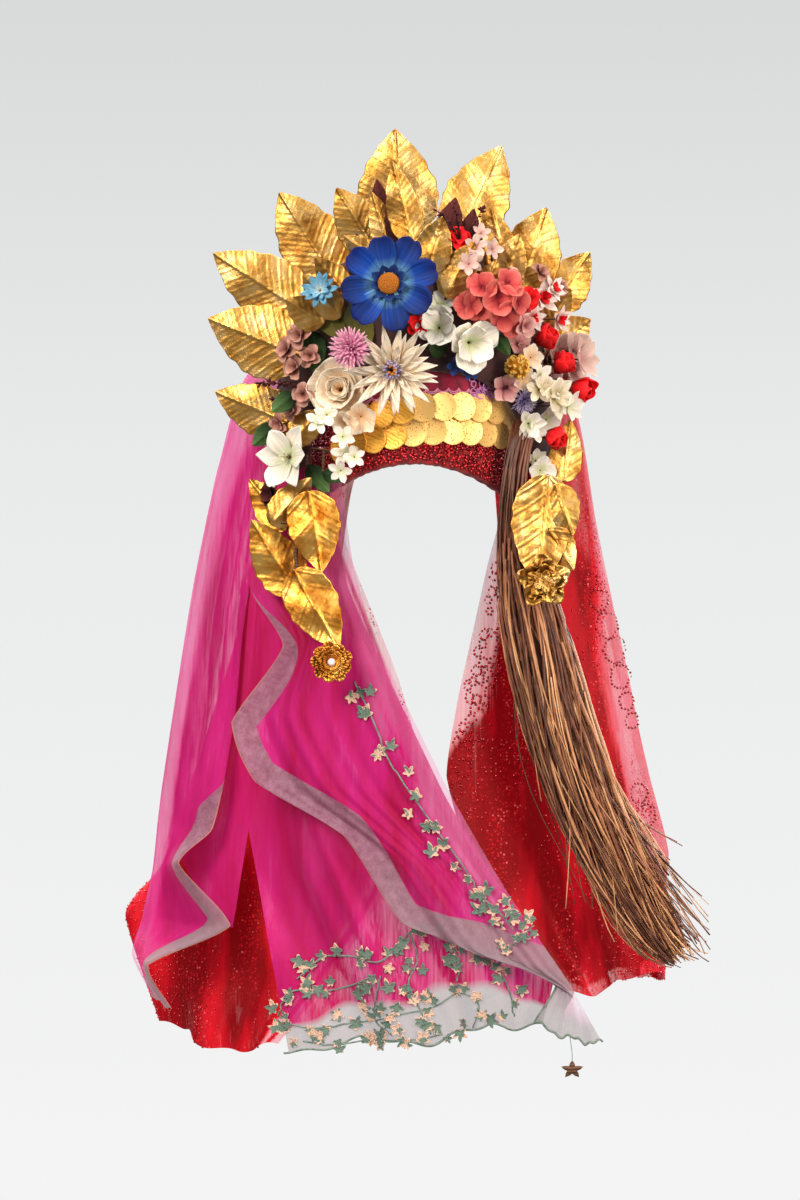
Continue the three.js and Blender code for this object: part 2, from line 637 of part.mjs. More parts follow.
// Veils: each panel is a net of hanging threads, a row for each level, with waves that deepen downward.
// Points are x, y and z.
const VEILS = [
  {
    name: 'pink_veil_front', color: MAGENTA, across: 8, down: 14, waves: 2, depth: 6, shift: 0.1,
    rows: [
      { inner: [-66, -87, -4], middle: [-98, -67, 8], border: [-122, -41, 6] },
      { inner: [-56, -93, -76], middle: [-100, -80, -85], border: [-150, -58, -97] },
      { inner: [-39, -101, -139], middle: [-82, -94, -146], border: [-118, -84, -153] },
      { inner: [-9, -109, -202], middle: [-90, -98, -212], border: [-165, -70, -222] },
      { inner: [31, -117, -283], middle: [-60, -110, -280], border: [-144, -86, -274] },
      { inner: [81, -122, -369], middle: [10, -122, -348], border: [-63, -114, -321] },
      { inner: [130, -124, -441], middle: [62, -126, -424], border: [-12, -122, -398] },
      { inner: [140, -123, -457], middle: [102, -126, -441], border: [58, -123, -419] },
      { inner: [148, -122, -472], middle: [138, -125, -461], border: [127, -121, -447] },
      { inner: [166, -121, -505], middle: [140, -120, -501], border: [106, -118, -487] },
    ],
  },
  {
    name: 'pink_veil_under', color: MAGENTA, across: 12, down: 6, waves: 3, depth: 7, shift: 0.6,
    rows: [
      { inner: [-79, -76, -4], middle: [-98, -63, 8], border: [-121, -37, 6] },
      { inner: [-60, -80, -100], middle: [-100, -66, -100], border: [-150, -40, -100] },
      { inner: [-22, -88, -185], middle: [-90, -76, -190], border: [-154, -40, -195] },
      { inner: [26, -97, -285], middle: [-84, -82, -286], border: [-190, 8, -285] },
      { inner: [64, -101, -350], middle: [-58, -94, -354], border: [-214, 8, -352] },
      { inner: [124, -105, -434], middle: [-20, -104, -440], border: [-160, -46, -432] },
      { inner: [114, -106, -486], middle: [12, -110, -502], border: [-118, -76, -515] },
    ],
  },
  {
    name: 'pink_veil_outer', color: MAGENTA, across: 7, down: 16, waves: 2, depth: 7, shift: 0.2,
    rows: [
      { border: [-121, -30, 30], side: [-104, -58, 96], back: [-40, -107, 122] },
      { border: [-132, -24, -6], side: [-156, -4, 84], back: [-66, 34, 150] },
      { border: [-144, -26, -60], side: [-180, 6, -4], back: [-128, 74, 70] },
      { border: [-156, -28, -140], side: [-199, 8, -100], back: [-160, 66, -70] },
      { border: [-163, -30, -215], side: [-213, 6, -195], back: [-186, 58, -185] },
      { border: [-174, -36, -283], side: [-226, 2, -283], back: [-206, 50, -285] },
      { border: [-184, -40, -322], side: [-231, 1, -320], back: [-216, 38, -322] },
      { border: [-214, -44, -352], side: [-236, 0, -358], back: [-226, 26, -360] },
      { border: [-166, -58, -408], side: [-242, -4, -408], back: [-240, 14, -410] },
      { border: [-242, -36, -446], side: [-255, -10, -440], back: [-248, 8, -440] },
      { border: [-220, -46, -486], side: [-234, -28, -478], back: [-246, -6, -460] },
    ],
  },
  {
    name: 'red_veil_left', color: RED_TULLE, across: 12, down: 6, waves: 3, depth: 8, shift: 0.3,
    rows: [
      { inner: [-84, -70, -2], middle: [-108, -44, 8], side: [-95, 10, 50], back: [-38, 101, 60] },
      { inner: [-54, -70, -84], middle: [-118, -36, -70], side: [-128, 40, -50], back: [-60, 112, -20] },
      { inner: [-14, -78, -185], middle: [-130, -28, -170], side: [-162, 56, -160], back: [-78, 116, -150] },
      { inner: [8, -82, -280], middle: [-150, -4, -275], side: [-194, 70, -265], back: [-95, 112, -260] },
      { inner: [-30, -76, -380], middle: [-170, 10, -380], side: [-228, 78, -362], back: [-112, 106, -370] },
      { inner: [-80, -66, -460], middle: [-186, 10, -460], side: [-262, 76, -406], back: [-125, 100, -440] },
      { inner: [-124, -50, -519], middle: [-196, 0, -520], side: [-228, 64, -500], back: [-130, 94, -480] },
    ],
  },
  {
    name: 'red_veil_right', color: RED_TULLE, across: 12, down: 8, waves: 3, depth: 9, shift: 0.45,
    rows: [
      { inner: [106, -56, 16], side: [104, -58, 90], back: [40, -107, 122] },
      { inner: [84, -74, -14], side: [146, 0, 60], back: [58, 36, 152] },
      { inner: [66, -76, -76], side: [164, 8, -40], back: [70, 112, 60] },
      { inner: [50, -80, -148], side: [181, 8, -125], back: [80, 124, -70] },
      { inner: [38, -84, -202], side: [197, 6, -200], back: [92, 120, -180] },
      { inner: [28, -86, -270], side: [213, 4, -275], back: [104, 110, -280] },
      { inner: [50, -84, -346], side: [230, 2, -345], back: [118, 100, -360] },
      { inner: [95, -80, -418], side: [224, -6, -405], back: [128, 92, -420] },
      { inner: [132, -76, -466], side: [222, -16, -456], back: [135, 85, -468] },
    ],
  },
];

const curveThrough = (points) => new THREE.CatmullRomCurve3(points, false, 'catmullrom', 0.5);

function veil({ rows, across, down, waves, depth, shift }) {
  const threads = Object.keys(rows[0]).map((thread) => curveThrough(rows.map((row) => triple(row[thread]))));
  const grid = [];
  for (let level = 0; level <= down; level += 1) {
    const fall = level / down;
    const course = curveThrough(threads.map((thread) => thread.getPoint(fall)));
    const row = [];
    for (let step = 0; step <= across; step += 1) {
      const share = step / across;
      const tangent = course.getTangent(share);
      const facing = vector(-tangent.y, tangent.x, 0).normalize();
      const wave = depth * fall ** 0.7 * Math.sin(2 * Math.PI * (waves * share + shift));
      row.push(course.getPoint(share).addScaledVector(facing, wave * Math.sin(Math.PI * share) ** 0.5));
    }
    grid.push(row);
  }
  return solidFrom(sheet(grid, VEIL_THICKNESS));
}

// Assembly
const headdress = new THREE.Group();

function place(name, solid, { color, roughness, metalness }) {
  const material = new THREE.MeshStandardMaterial({ color, roughness, metalness });
  const mesh = new THREE.Mesh(geometryFrom(solid), material);
  mesh.name = name;
  headdress.add(mesh);
}

const crestRoom = crest(GAP);
const capRoom = cap(GAP);

place('cap', cap(0), RED_SEQUIN);
place('kerchief_band', kerchiefBand(), CRIMSON);
place('crest_pad', crest(0), MAROON);
for (const row of COIN_ROWS) place(row.name, coinRow(row), GOLD);
for (const row of CROWN_LEAVES) place(`crown_leaf_${row.name}`, seated(crownLeaf(row), [crestRoom]), GOLD);
for (const bloom of FLOWERS) place(bloom.name, seated(flower(bloom), [crestRoom]), petal(bloom.color));
place('olive_leaf', seated(crownLeaf(OLIVE_LEAF), [crestRoom]), petal('#4A4F24'));
for (const { side, wire, leaves, rosette: rose } of PENDANTS) {
  const wireRoom = pendantWire(wire, GAP);
  place(`${side}_pendant_wire`, seated(pendantWire(wire, 0), [crestRoom]), WIRE);
  for (const row of leaves) place(`${side}_pendant_${row.part}`, seated(pendantLeaf(row), [wireRoom]), AMBER);
  place(`${side}_pendant_rosette`, seated(rosette(rose), [wireRoom]), AMBER);
}
place('twig_bundle', seated(twigBundle(), [crestRoom]), TWIG);
for (const panel of VEILS) place(panel.name, seated(veil(panel), [crestRoom, capRoom]), panel.color);

export default headdress;
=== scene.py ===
# %% [markdown]
# # Bridal headdress
# A folk bridal headdress: a sequinned cap with two rows of coins, a padded crest full of foil leaves
# and silk flowers, foil pendants, a bundle of twigs, and hanging veils of organza and tulle.
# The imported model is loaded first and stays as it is. Each piece below is made in millimetres in the
# same frame, with its front towards -Y, and is turned to metres when its mesh is made.

# %% Frame
import math

import bpy
import numpy as np
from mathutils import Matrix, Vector


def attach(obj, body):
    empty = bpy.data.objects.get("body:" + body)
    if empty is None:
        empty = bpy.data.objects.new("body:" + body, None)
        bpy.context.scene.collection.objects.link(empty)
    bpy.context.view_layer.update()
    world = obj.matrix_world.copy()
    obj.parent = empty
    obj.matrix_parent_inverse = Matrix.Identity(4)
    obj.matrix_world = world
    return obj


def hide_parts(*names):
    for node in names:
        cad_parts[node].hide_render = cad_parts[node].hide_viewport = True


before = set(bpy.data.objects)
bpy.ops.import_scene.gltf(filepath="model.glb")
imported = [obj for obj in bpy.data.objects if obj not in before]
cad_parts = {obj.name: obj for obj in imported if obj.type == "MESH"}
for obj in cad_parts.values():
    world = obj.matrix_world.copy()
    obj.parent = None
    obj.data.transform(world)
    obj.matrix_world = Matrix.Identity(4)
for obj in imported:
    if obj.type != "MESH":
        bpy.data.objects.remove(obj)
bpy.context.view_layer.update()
MM = 0.001
scene = bpy.context.scene
print("frame:", len(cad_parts), "nodes")

# %% [markdown]
# ## Camera, light and floor
# The picture is a level view with a long lens, so the camera stands 4 m away at the height of the coins.
# The headdress is shown in its worn form and hangs free, so the floor lies well below it, and its paint
# fades out into the backdrop so that no horizon cuts the picture.
# Foil looks like foil only when it has something dark and something bright to mirror. The surroundings
# are therefore dim near the horizon and bright above, with large soft lights in front and behind.

# %% Camera
EYE = np.array([-13.5, -4000.0, 15.0])
AIM = np.array([-13.5, -60.0, -112.5])
PICTURE_HEIGHT = 1080.0
SENSOR = 36.0

sight = AIM - EYE
camera = bpy.data.objects.new("camera", bpy.data.cameras.new("camera"))
scene.collection.objects.link(camera)
camera.location = EYE * MM
camera.rotation_euler = Vector(sight).to_track_quat("-Z", "Y").to_euler()
camera.data.sensor_width = SENSOR
camera.data.lens = SENSOR * np.linalg.norm(sight) / PICTURE_HEIGHT
scene.camera = camera
scene.view_settings.view_transform = "Standard"
scene.cycles.transparent_max_bounces = 40
print("camera lens:", round(camera.data.lens, 1), "mm")

# %% [markdown]
# One function turns an sRGB hex colour to linear light, and one adds a shader node with its settings and
# links. An input whose value is another node's socket is linked, and any other value is set on it. A
# finish is one material, or the world, with short names for the kinds of node that most patterns are made
# of. It takes the sizes of patterns in millimetres.

# %% Colour and node helpers
MIX_SHARE, MIX_FIRST, MIX_SECOND, MIX_RESULT = 0, 6, 7, 2


def linear(code):
    parts = [int(code[start:start + 2], 16) / 255 for start in (1, 3, 5)]
    return [p / 12.92 if p <= 0.04045 else ((p + 0.055) / 1.055) ** 2.4 for p in parts] + [1.0]


def add_node(tree, kind, inputs=None, stops=None, **settings):
    made = tree.nodes.new("ShaderNode" + kind)
    for name, value in settings.items():
        setattr(made, name, value)
    for socket, value in (inputs or {}).items():
        if isinstance(value, bpy.types.NodeSocket):
            tree.links.new(value, made.inputs[socket])
        else:
            made.inputs[socket].default_value = value
    for index, (place, code) in enumerate(stops or []):
        ramp = made.color_ramp.elements
        stop = ramp[index] if index < 2 else ramp.new(place)
        stop.position = place
        stop.color = linear(code)
    return made


class Finish:
    """One material or world, and short names for its nodes."""

    def __init__(self, name, kind=bpy.data.materials):
        self.holder = kind.new(name)
        self.holder.use_nodes = True
        self.tree = self.holder.node_tree
        self.tree.nodes.clear()

    def node(self, kind, inputs=None, output=0, **settings):
        return add_node(self.tree, kind, inputs, **settings).outputs[output]

    def place(self):
        return self.node("TexCoord", output="Object")

    def value(self, name):
        """One of the numbers that each point of a mesh carries."""
        return self.node("Attribute", output="Fac", attribute_name=name)

    def height(self, place=None):
        return self.node("SeparateXYZ", {"Vector": place or self.place()}, "Z")

    def stretched(self, share):
        """Places pressed flat in height, so that a pattern laid on them is drawn out downward."""
        return self.node("Mapping", {"Vector": self.place(), "Scale": (1.0, 1.0, share)}, "Vector")

    def pattern(self, kind, size, inputs, output="Fac", place=None, **settings):
        inputs = {"Vector": place or self.place(), "Scale": size, **inputs}
        return self.node(kind, inputs, output, **settings)

    def noise(self, size, detail=2.0, roughness=0.5, place=None):
        inputs = {"Detail": detail, "Roughness": roughness}
        return self.pattern("TexNoise", 1 / (size * MM), inputs, place=place)

    def cells(self, size, output="Distance"):
        return self.pattern("TexVoronoi", 1 / (size * MM), {}, output)

    def waves(self, size, distortion, direction, detail_scale=1.0):
        inputs = {"Distortion": distortion, "Detail Scale": detail_scale}
        return self.pattern("TexWave", 0.3 / (size * MM), inputs, bands_direction=direction)

    def span(self, value, low=0.0, high=1.0, first=0.0, last=1.0):
        """A value from low to high, turned into one from first to last."""
        return self.node("MapRange", {
            "Value": value, "From Min": low, "From Max": high, "To Min": first, "To Max": last}, "Result")

    def ramp(self, value, *stops):
        return self.node("ValToRGB", {"Fac": value}, "Color", stops=stops)

    def maths(self, operation, *values, **settings):
        return self.node("Math", dict(enumerate(values)), operation=operation, **settings)

    def mix(self, share, first, second):
        colours = {MIX_SHARE: share, MIX_FIRST: first, MIX_SECOND: second}
        return self.node("Mix", colours, MIX_RESULT, data_type="RGBA")

    def bump(self, height, strength, depth):
        inputs = {"Strength": strength, "Distance": depth * MM, "Height": height}
        return self.node("Bump", inputs, "Normal")

    def surface(self, colour, roughness, normal=None, others=None):
        inputs = {"Base Color": colour, "Roughness": roughness, **(others or {})}
        if normal is not None:
            inputs["Normal"] = normal
        return self.node("BsdfPrincipled", inputs)

    def blend(self, share, first, second):
        return self.node("MixShader", {0: share, 1: first, 2: second})

    def lit_through(self, share, surface, colour):
        """A surface that lets a share of the light through from behind."""
        return self.blend(share, surface, self.node("BsdfTranslucent", {"Color": colour}))

    def done(self, shader, output="OutputMaterial"):
        add_node(self.tree, output, {"Surface": shader})
        return self.holder


# %% Surroundings
sky = Finish("studio", bpy.data.worlds)
share = sky.span(sky.height(sky.node("TexCoord", output="Generated")), -1.0)
glow = sky.ramp(share, (0.0, "#9A9A9A"), (0.5, "#7C7C7E"), (0.54, "#3A3432"), (0.66, "#5A5450"),
                (0.76, "#E8EAEE"), (1.0, "#FFFFFF"))
paper = sky.ramp(share, (0.42, "#F4F4F4"), (0.50, "#E9EAEA"), (0.55, "#D9DADA"))
lighting = sky.node("Background", {"Color": glow, "Strength": 1.1})
backdrop = sky.node("Background", {"Color": paper, "Strength": 1.0})
seen = sky.node("LightPath", output="Is Camera Ray")
scene.world = sky.done(sky.blend(seen, lighting, backdrop), "OutputWorld")

SOFTBOXES = [
    # name, place in metres, width, height, watts, colour
    ("key", (-1.7, -2.3, 1.5), 1.3, 1.3, 100, "#FFF2E2"),
    ("fill", (1.9, -2.1, 0.5), 1.0, 1.6, 62, "#FFF0E0"),
    ("back_left", (-1.5, 1.7, 0.9), 1.0, 1.6, 40, "#FFFFFF"),
    ("back_right", (1.6, 1.6, 0.7), 1.0, 1.6, 36, "#FFFFFF"),
    ("top", (0.0, -0.3, 2.2), 1.2, 1.2, 26, "#FFF6EA"),
]
LIT_SPOT = Vector((0.0, 0.0, -0.1))
for name, place, width, height, watts, colour in SOFTBOXES:
    lamp = bpy.data.lights.new(name, "AREA")
    lamp.shape = "RECTANGLE"
    lamp.size, lamp.size_y, lamp.energy = width, height, watts
    lamp.color = linear(colour)[:3]
    holder = bpy.data.objects.new(name, lamp)
    scene.collection.objects.link(holder)
    holder.location = place
    holder.rotation_euler = (LIT_SPOT - holder.location).to_track_quat("-Z", "Y").to_euler()
print("lights:", len(SOFTBOXES))

# %% Floor
FLOOR_HEIGHT, FLOOR_REACH = -0.78, 0.7
FADE_START, FADE_END = 0.25, 0.68


def painted_floor():
    """Pale matt paint, which fades out to nothing before the floor's edge."""
    look = Finish("matt_pale_paint")
    shade = look.ramp(look.noise(250.0), (0.3, "#9A9A9A"), (0.7, "#A0A0A0"))
    level = look.node("VectorMath", {0: look.place(), 1: (1, 1, 0)}, "Vector", operation="MULTIPLY")
    reach = look.node("VectorMath", {0: level}, "Value", operation="LENGTH")
    fade = look.span(reach, FADE_START, FADE_END)
    return look.done(look.blend(fade, look.surface(shade, 0.9), look.node("BsdfTransparent")))


corners = [(-1, -1), (1, -1), (1, 1), (-1, 1)]
floor_mesh = bpy.data.meshes.new("floor")
places = [(FLOOR_REACH * x, FLOOR_REACH * y, FLOOR_HEIGHT) for x, y in corners]
floor_mesh.from_pydata(places, [], [range(4)])
floor_mesh.materials.append(painted_floor())
floor = bpy.data.objects.new("floor", floor_mesh)
scene.collection.objects.link(floor)

# %% [markdown]
# ## Making meshes from arrays
# Every piece is a heap of small parts: grids for petals and leaves, tubes for wires and twigs, turned
# forms for coins. A heap keeps their points and faces and joins them into one object. Each point also
# carries three numbers for the materials: `along` from root to tip, `across` from side to side and
# `tone`, which differs from part to part.

# %% Points and curves
def unit(vectors):
    return vectors / np.maximum(np.linalg.norm(vectors, axis=-1, keepdims=True), 1e-12)


def smooth_line(points, shares):
    """A Catmull-Rom curve through points, at shares from 0 to 1 of the way."""
    points = np.asarray(points, float)
    ends = [2 * points[0] - points[1]], [2 * points[-1] - points[-2]]
    line = np.concatenate([ends[0], points, ends[1]])
    spans = len(points) - 1
    at = np.clip(np.asarray(shares, float) * spans, 0, spans - 1e-9)
    span = at.astype(int)
    w = (at - span).reshape(-1, *[1] * (points.ndim - 1))
    before, start, end, after = (line[span + step] for step in range(4))
    leave, arrive = (end - before) / 2, (after - start) / 2
    return (start + leave * w + (3 * (end - start) - 2 * leave - arrive) * w ** 2
            + (2 * (start - end) + leave + arrive) * w ** 3)


def grid_faces(rows, columns, wrap=False, ends=False):
    """Faces of a grid of points, which may close round on itself and have its ends filled."""
    row, column = np.mgrid[0:rows - 1, 0:columns if wrap else columns - 1]
    a = row * columns + column
    b = row * columns + (column + 1) % columns
    faces = np.stack([a, b, b + columns, a + columns], -1).reshape(-1, 4).tolist()
    if ends:
        faces += [list(range(columns))[::-1], list(range((rows - 1) * columns, rows * columns))]
    return faces


def frames_along(axes, turns=0.0):
    """For each axis, three rows: sideways, upright and the axis itself, turned about it."""
    axes = unit(np.atleast_2d(np.asarray(axes, float)))
    level = np.where(np.abs(axes[:, 2:]) > 0.98, [[1.0, 0, 0]], [[0, 0, 1.0]])
    sideways = unit(np.cross(level, axes))
    upright = np.cross(axes, sideways)
    c, s = np.cos(turns), np.sin(turns)
    c, s = (np.broadcast_to(v, len(axes))[:, None] for v in (c, s))
    return np.stack([c * sideways + s * upright, c * upright - s * sideways, axes], 1)


# %% Heap
VALUES = ("along", "across", "tone")


class Heap:
    """Small parts that become one object."""

    def __init__(self):
        self.points, self.faces, self.slots, self.count = [], [], [], 0
        self.values = {name: [] for name in VALUES}

    def add(self, points, faces, slot=0, **values):
        points = np.asarray(points, float).reshape(-1, 3)
        self.points.append(points)
        self.faces += [[int(corner) + self.count for corner in face] for face in faces]
        self.slots += [slot] * len(faces)
        for name in VALUES:
            self.values[name].append(np.broadcast_to(np.ravel(values.get(name, 0.0)), len(points)))
        self.count += len(points)

    def grid(self, points, slot=0, wrap=False, ends=False, **values):
        self.add(points, grid_faces(*points.shape[:2], wrap, ends), slot, **values)

    def tube(self, path, radius, sides=6, slot=0, tone=0.0):
        path = np.asarray(path, float)
        forward = unit(np.gradient(path, axis=0))
        guide = np.eye(3)[np.argmin(np.abs(forward).mean(0))]
        side = unit(np.cross(forward, guide))
        up = np.cross(forward, side)
        angle = 2 * math.pi * np.arange(sides) / sides
        radii = np.broadcast_to(radius, len(path))[:, None, None]
        ring = np.cos(angle)[None, :, None] * side[:, None] + np.sin(angle)[None, :, None] * up[:, None]
        along = np.repeat(np.linspace(0, 1, len(path)), sides)
        self.grid(path[:, None] + radii * ring, slot, wrap=True, ends=True, along=along, tone=tone)

    def wire(self, points, steps, radius, sides, slot=0):
        """A tube that bends smoothly through a few points."""
        self.tube(smooth_line(points, np.linspace(0, 1, steps)), radius, sides, slot)

    def scatter(self, points, faces, places, frames, slot=0, tones=0.0, along=0.0):
        """Copies of one small form, at many places."""
        places = np.asarray(places, float)
        copies = len(places)
        spread = places[:, None] + np.einsum("ij,njk->nik", np.asarray(points, float), frames)
        shift = len(points) * np.arange(copies)
        all_faces = [[corner + base for corner in face] for base in shift for face in faces]
        tones = np.repeat(np.broadcast_to(tones, copies), len(points))
        along = np.tile(np.broadcast_to(along, len(points)), copies)
        self.add(spread, all_faces, slot, tone=tones, along=along)

    def piece(self, name, materials, nodes=(), slot=None, thickness=0.0):
        mesh = bpy.data.meshes.new(name)
        mesh.from_pydata((np.concatenate(self.points) * MM).tolist(), [], self.faces)
        for value in VALUES:
            store = mesh.attributes.new(value, "FLOAT", "POINT")
            store.data.foreach_set("value", np.concatenate(self.values[value]).astype(np.float32))
        for material in materials:
            mesh.materials.append(material)
        mesh.polygons.foreach_set("material_index", np.array(self.slots, np.int32))
        mesh.shade_smooth()
        made = bpy.data.objects.new(name, mesh)
        scene.collection.objects.link(made)
        if thickness:
            shell = made.modifiers.new("thickness", "SOLIDIFY")
            shell.thickness, shell.offset = thickness * MM, 0.0
        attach(made, "root")
        if nodes:
            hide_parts(*nodes)
        print(name, len(mesh.polygons), "faces")
        return made


def turned(profile, sides):
    """A turned form about +Z, from pairs of radius and height."""
    angle = 2 * math.pi * np.arange(sides) / sides
    radius, height = np.array(profile, float).T
    ring = np.stack([np.cos(angle), np.sin(angle)], -1)
    rings = np.concatenate([radius[:, None, None] * ring,
                            np.broadcast_to(height[:, None, None], (len(radius), sides, 1))], -1)
    return rings.reshape(-1, 3), grid_faces(len(profile), sides, True, True)


# %% [markdown]
# ## Cap
# The cap is a boxy hood whose rim is high over the brow and low at the sides. The real one is stiff cloth
# covered with small red sequins that lie like scales. A bump pattern alone would look flat at the rim,
# so the lower part gets real sequins, each a shallow cone that is tipped a little at random.

# %% Sequin and cloth finishes
def sequin_plastic(name, bright, deep):
    """Metallised plastic film, punched and domed: a mirror with its colour in the film."""
    look = Finish(name)
    shade = look.ramp(look.value("tone"), (0.0, deep), (1.0, bright))
    return look.done(look.surface(shade, 0.22, others={"Metallic": 0.55, "Coat Weight": 0.4}))


def woven_cloth(name, light, dark, thread_mm, patch_mm):
    """Plain woven or felted cloth: matte, with soft patches and threads that show as fine bump."""
    look = Finish(name)
    shade = look.ramp(look.noise(patch_mm, 4.0), (0.32, dark), (0.68, light))
    relief = look.bump(look.cells(thread_mm), 0.5, 0.3 * thread_mm)
    return look.done(look.surface(shade, 0.85, relief, {"Sheen Weight": 0.3}))


# Sequins are 4 mm wide. The ground's threads are drawn at 3 mm, coarser than real, so that they show.
RED_SEQUIN = sequin_plastic("red_sequin_film", "#E83038", "#8A0C16")
SEQUIN_GROUND = woven_cloth("red_sequin_ground", "#A8141E", "#6E0C14", 3.0, 8.0)

# %% Cap form
CAP_HALF_WIDTH, CAP_HALF_DEPTH, CAP_WALL, CAP_TOP = 97.0, 112.0, 7.0, 138.0
RIM_FRONT, RIM_DROP, ROUNDNESS = 14.0, 40.0, 0.44


def rim_height(angle):
    return RIM_FRONT - RIM_DROP * np.sin(angle) ** 2


def cap_point(angle, lift, inset=0.0):
    angle, lift = np.broadcast_arrays(angle, lift)
    rim = rim_height(angle)
    spread, rise = np.cos(lift) ** ROUNDNESS, np.sin(lift) ** ROUNDNESS
    return np.stack([
        (CAP_HALF_WIDTH - inset) * spread * np.sin(angle),
        -(CAP_HALF_DEPTH - inset) * spread * np.cos(angle),
        rim + (CAP_TOP - inset - rim) * rise,
    ], -1)


def cap_seat(angle, height, offset=0.0):
    """Points on the cap's outside at a height, pushed out by an offset, and the ways that they face."""
    angle, height = np.broadcast_arrays(np.asarray(angle, float), np.asarray(height, float))
    rim = rim_height(angle)
    rise = np.clip((height - rim) / (CAP_TOP - rim), 0, 1)
    across, ahead = np.sin(angle) / CAP_HALF_WIDTH, -np.cos(angle) / CAP_HALF_DEPTH
    facing = unit(np.stack([across, ahead, 0 * angle], -1))
    place = cap_point(angle, np.arcsin(rise ** (1 / ROUNDNESS)))
    place = place + facing * np.asarray(offset, float)[..., None]
    place[..., 2] = height
    return place, facing


cap = Heap()
around = np.linspace(0, 2 * math.pi, 120, endpoint=False)
lifts = np.radians(np.concatenate([[0], np.geomspace(0.6, 89.6, 24)]))
inside = [cap_point(around, lift, CAP_WALL) for lift in lifts[::-1]]
outside = [cap_point(around, lift) for lift in lifts]
cap.grid(np.stack(inside + outside), wrap=True, ends=True)
rim = cap_point(around, 0.0, CAP_WALL / 2) - [0, 0, 0.6]
rim[:, 2] += 0.7 * np.sin(38 * around)
outward = unit(rim * [1, 1, 0])
cap.grid(np.stack([rim + CAP_WALL / 1.9 * (math.cos(turn) * outward + [0, 0, math.sin(turn)])
                   for turn in np.linspace(0, 2 * math.pi, 9)]), wrap=True)

# %% Cap sequins
SEQUIN_SIDES = 6


def sequin_form(radius, height):
    """A shallow cone, closed below."""
    angle = 2 * math.pi * np.arange(SEQUIN_SIDES) / SEQUIN_SIDES
    ring = np.stack([radius * np.cos(angle), radius * np.sin(angle), 0 * angle], -1)
    sides = [[step, (step + 1) % SEQUIN_SIDES, SEQUIN_SIDES] for step in range(SEQUIN_SIDES)]
    return np.concatenate([ring, [[0, 0, height]]]), sides + [list(range(SEQUIN_SIDES))[::-1]]


def tipped(facing, rng, amount):
    """Ways to face, each leant over a little at random."""
    return unit(facing + rng.normal(0, amount, facing.shape))


rng = np.random.default_rng(11)
SEQUIN_PITCH, SEQUIN_BAND, SEQUIN_RADIUS, SEQUIN_RISE, SEQUIN_TIP = 3.3, 66.0, 2.0, 0.7, 0.42
rows = int(SEQUIN_BAND / (0.8 * SEQUIN_PITCH))
columns = int(2 * math.pi * (CAP_HALF_WIDTH + CAP_HALF_DEPTH) / 2 / SEQUIN_PITCH)
row, column = (v.ravel() for v in np.mgrid[0:rows, 0:columns])
angle = 2 * math.pi * (column + 0.5 * (row % 2)) / columns + rng.normal(0, 0.012, row.size)
height = rim_height(angle) + 0.5 + 0.8 * SEQUIN_PITCH * row + rng.normal(0, 0.8, row.size)
place, facing = cap_seat(angle, height, 0.8)
frames = frames_along(tipped(facing, rng, SEQUIN_TIP), rng.uniform(0, 6, row.size))
sequin = sequin_form(SEQUIN_RADIUS, SEQUIN_RISE)
cap.scatter(*sequin, place, frames, slot=1, tones=rng.uniform(0, 1, row.size))
cap.piece("sequin_cap", [SEQUIN_GROUND, RED_SEQUIN], ["cap"], "sequin_cloth")

# %% [markdown]
# ## Kerchief strip
# A crimson printed kerchief is tied round the cap above the coins. It shows as a strip with slack folds
# and a scalloped pink lace edge, and a bit of lilac crochet hangs over it at the right. The strip is one
# sheet whose folds run nearly level, and the lace is thin tube that follows it.

# %% Kerchief
CRIMSON = woven_cloth("crimson_cotton", "#B01240", "#6C0A28", 1.0, 9.0)
PINK_LACE = woven_cloth("pink_lace_thread", "#F2A6C6", "#D977A6", 0.6, 4.0)
LILAC_LACE = woven_cloth("lilac_crochet_thread", "#DDA0D8", "#B060B0", 0.6, 4.0)
KERCHIEF_LOW, KERCHIEF_HIGH, KERCHIEF_REACH, KERCHIEF_OFFSET = 60.0, 97.0, 80.0, 1.85
COIN_ARCH, COIN_ARCH_CENTRE = 17.0, 0.3


def coin_height(angle, crown):
    return crown - COIN_ARCH * (np.sin(angle) - COIN_ARCH_CENTRE) ** 2


angle, share = np.meshgrid(np.radians(np.linspace(-KERCHIEF_REACH, KERCHIEF_REACH, 150)),
                           np.linspace(0, 1, 26))
height = KERCHIEF_LOW + share * (KERCHIEF_HIGH - KERCHIEF_LOW)
slack = 0.7 * np.sin(17 * share + 2.2 * np.sin(3 * angle)) + 0.5 * np.sin(9 * angle + 8 * share)
kerchief = Heap()
kerchief.grid(cap_seat(angle, height, KERCHIEF_OFFSET + 1.1 + slack)[0])
kerchief_cloth = kerchief.piece("kerchief_cloth", [CRIMSON], ["kerchief_band"], "crimson_cloth")

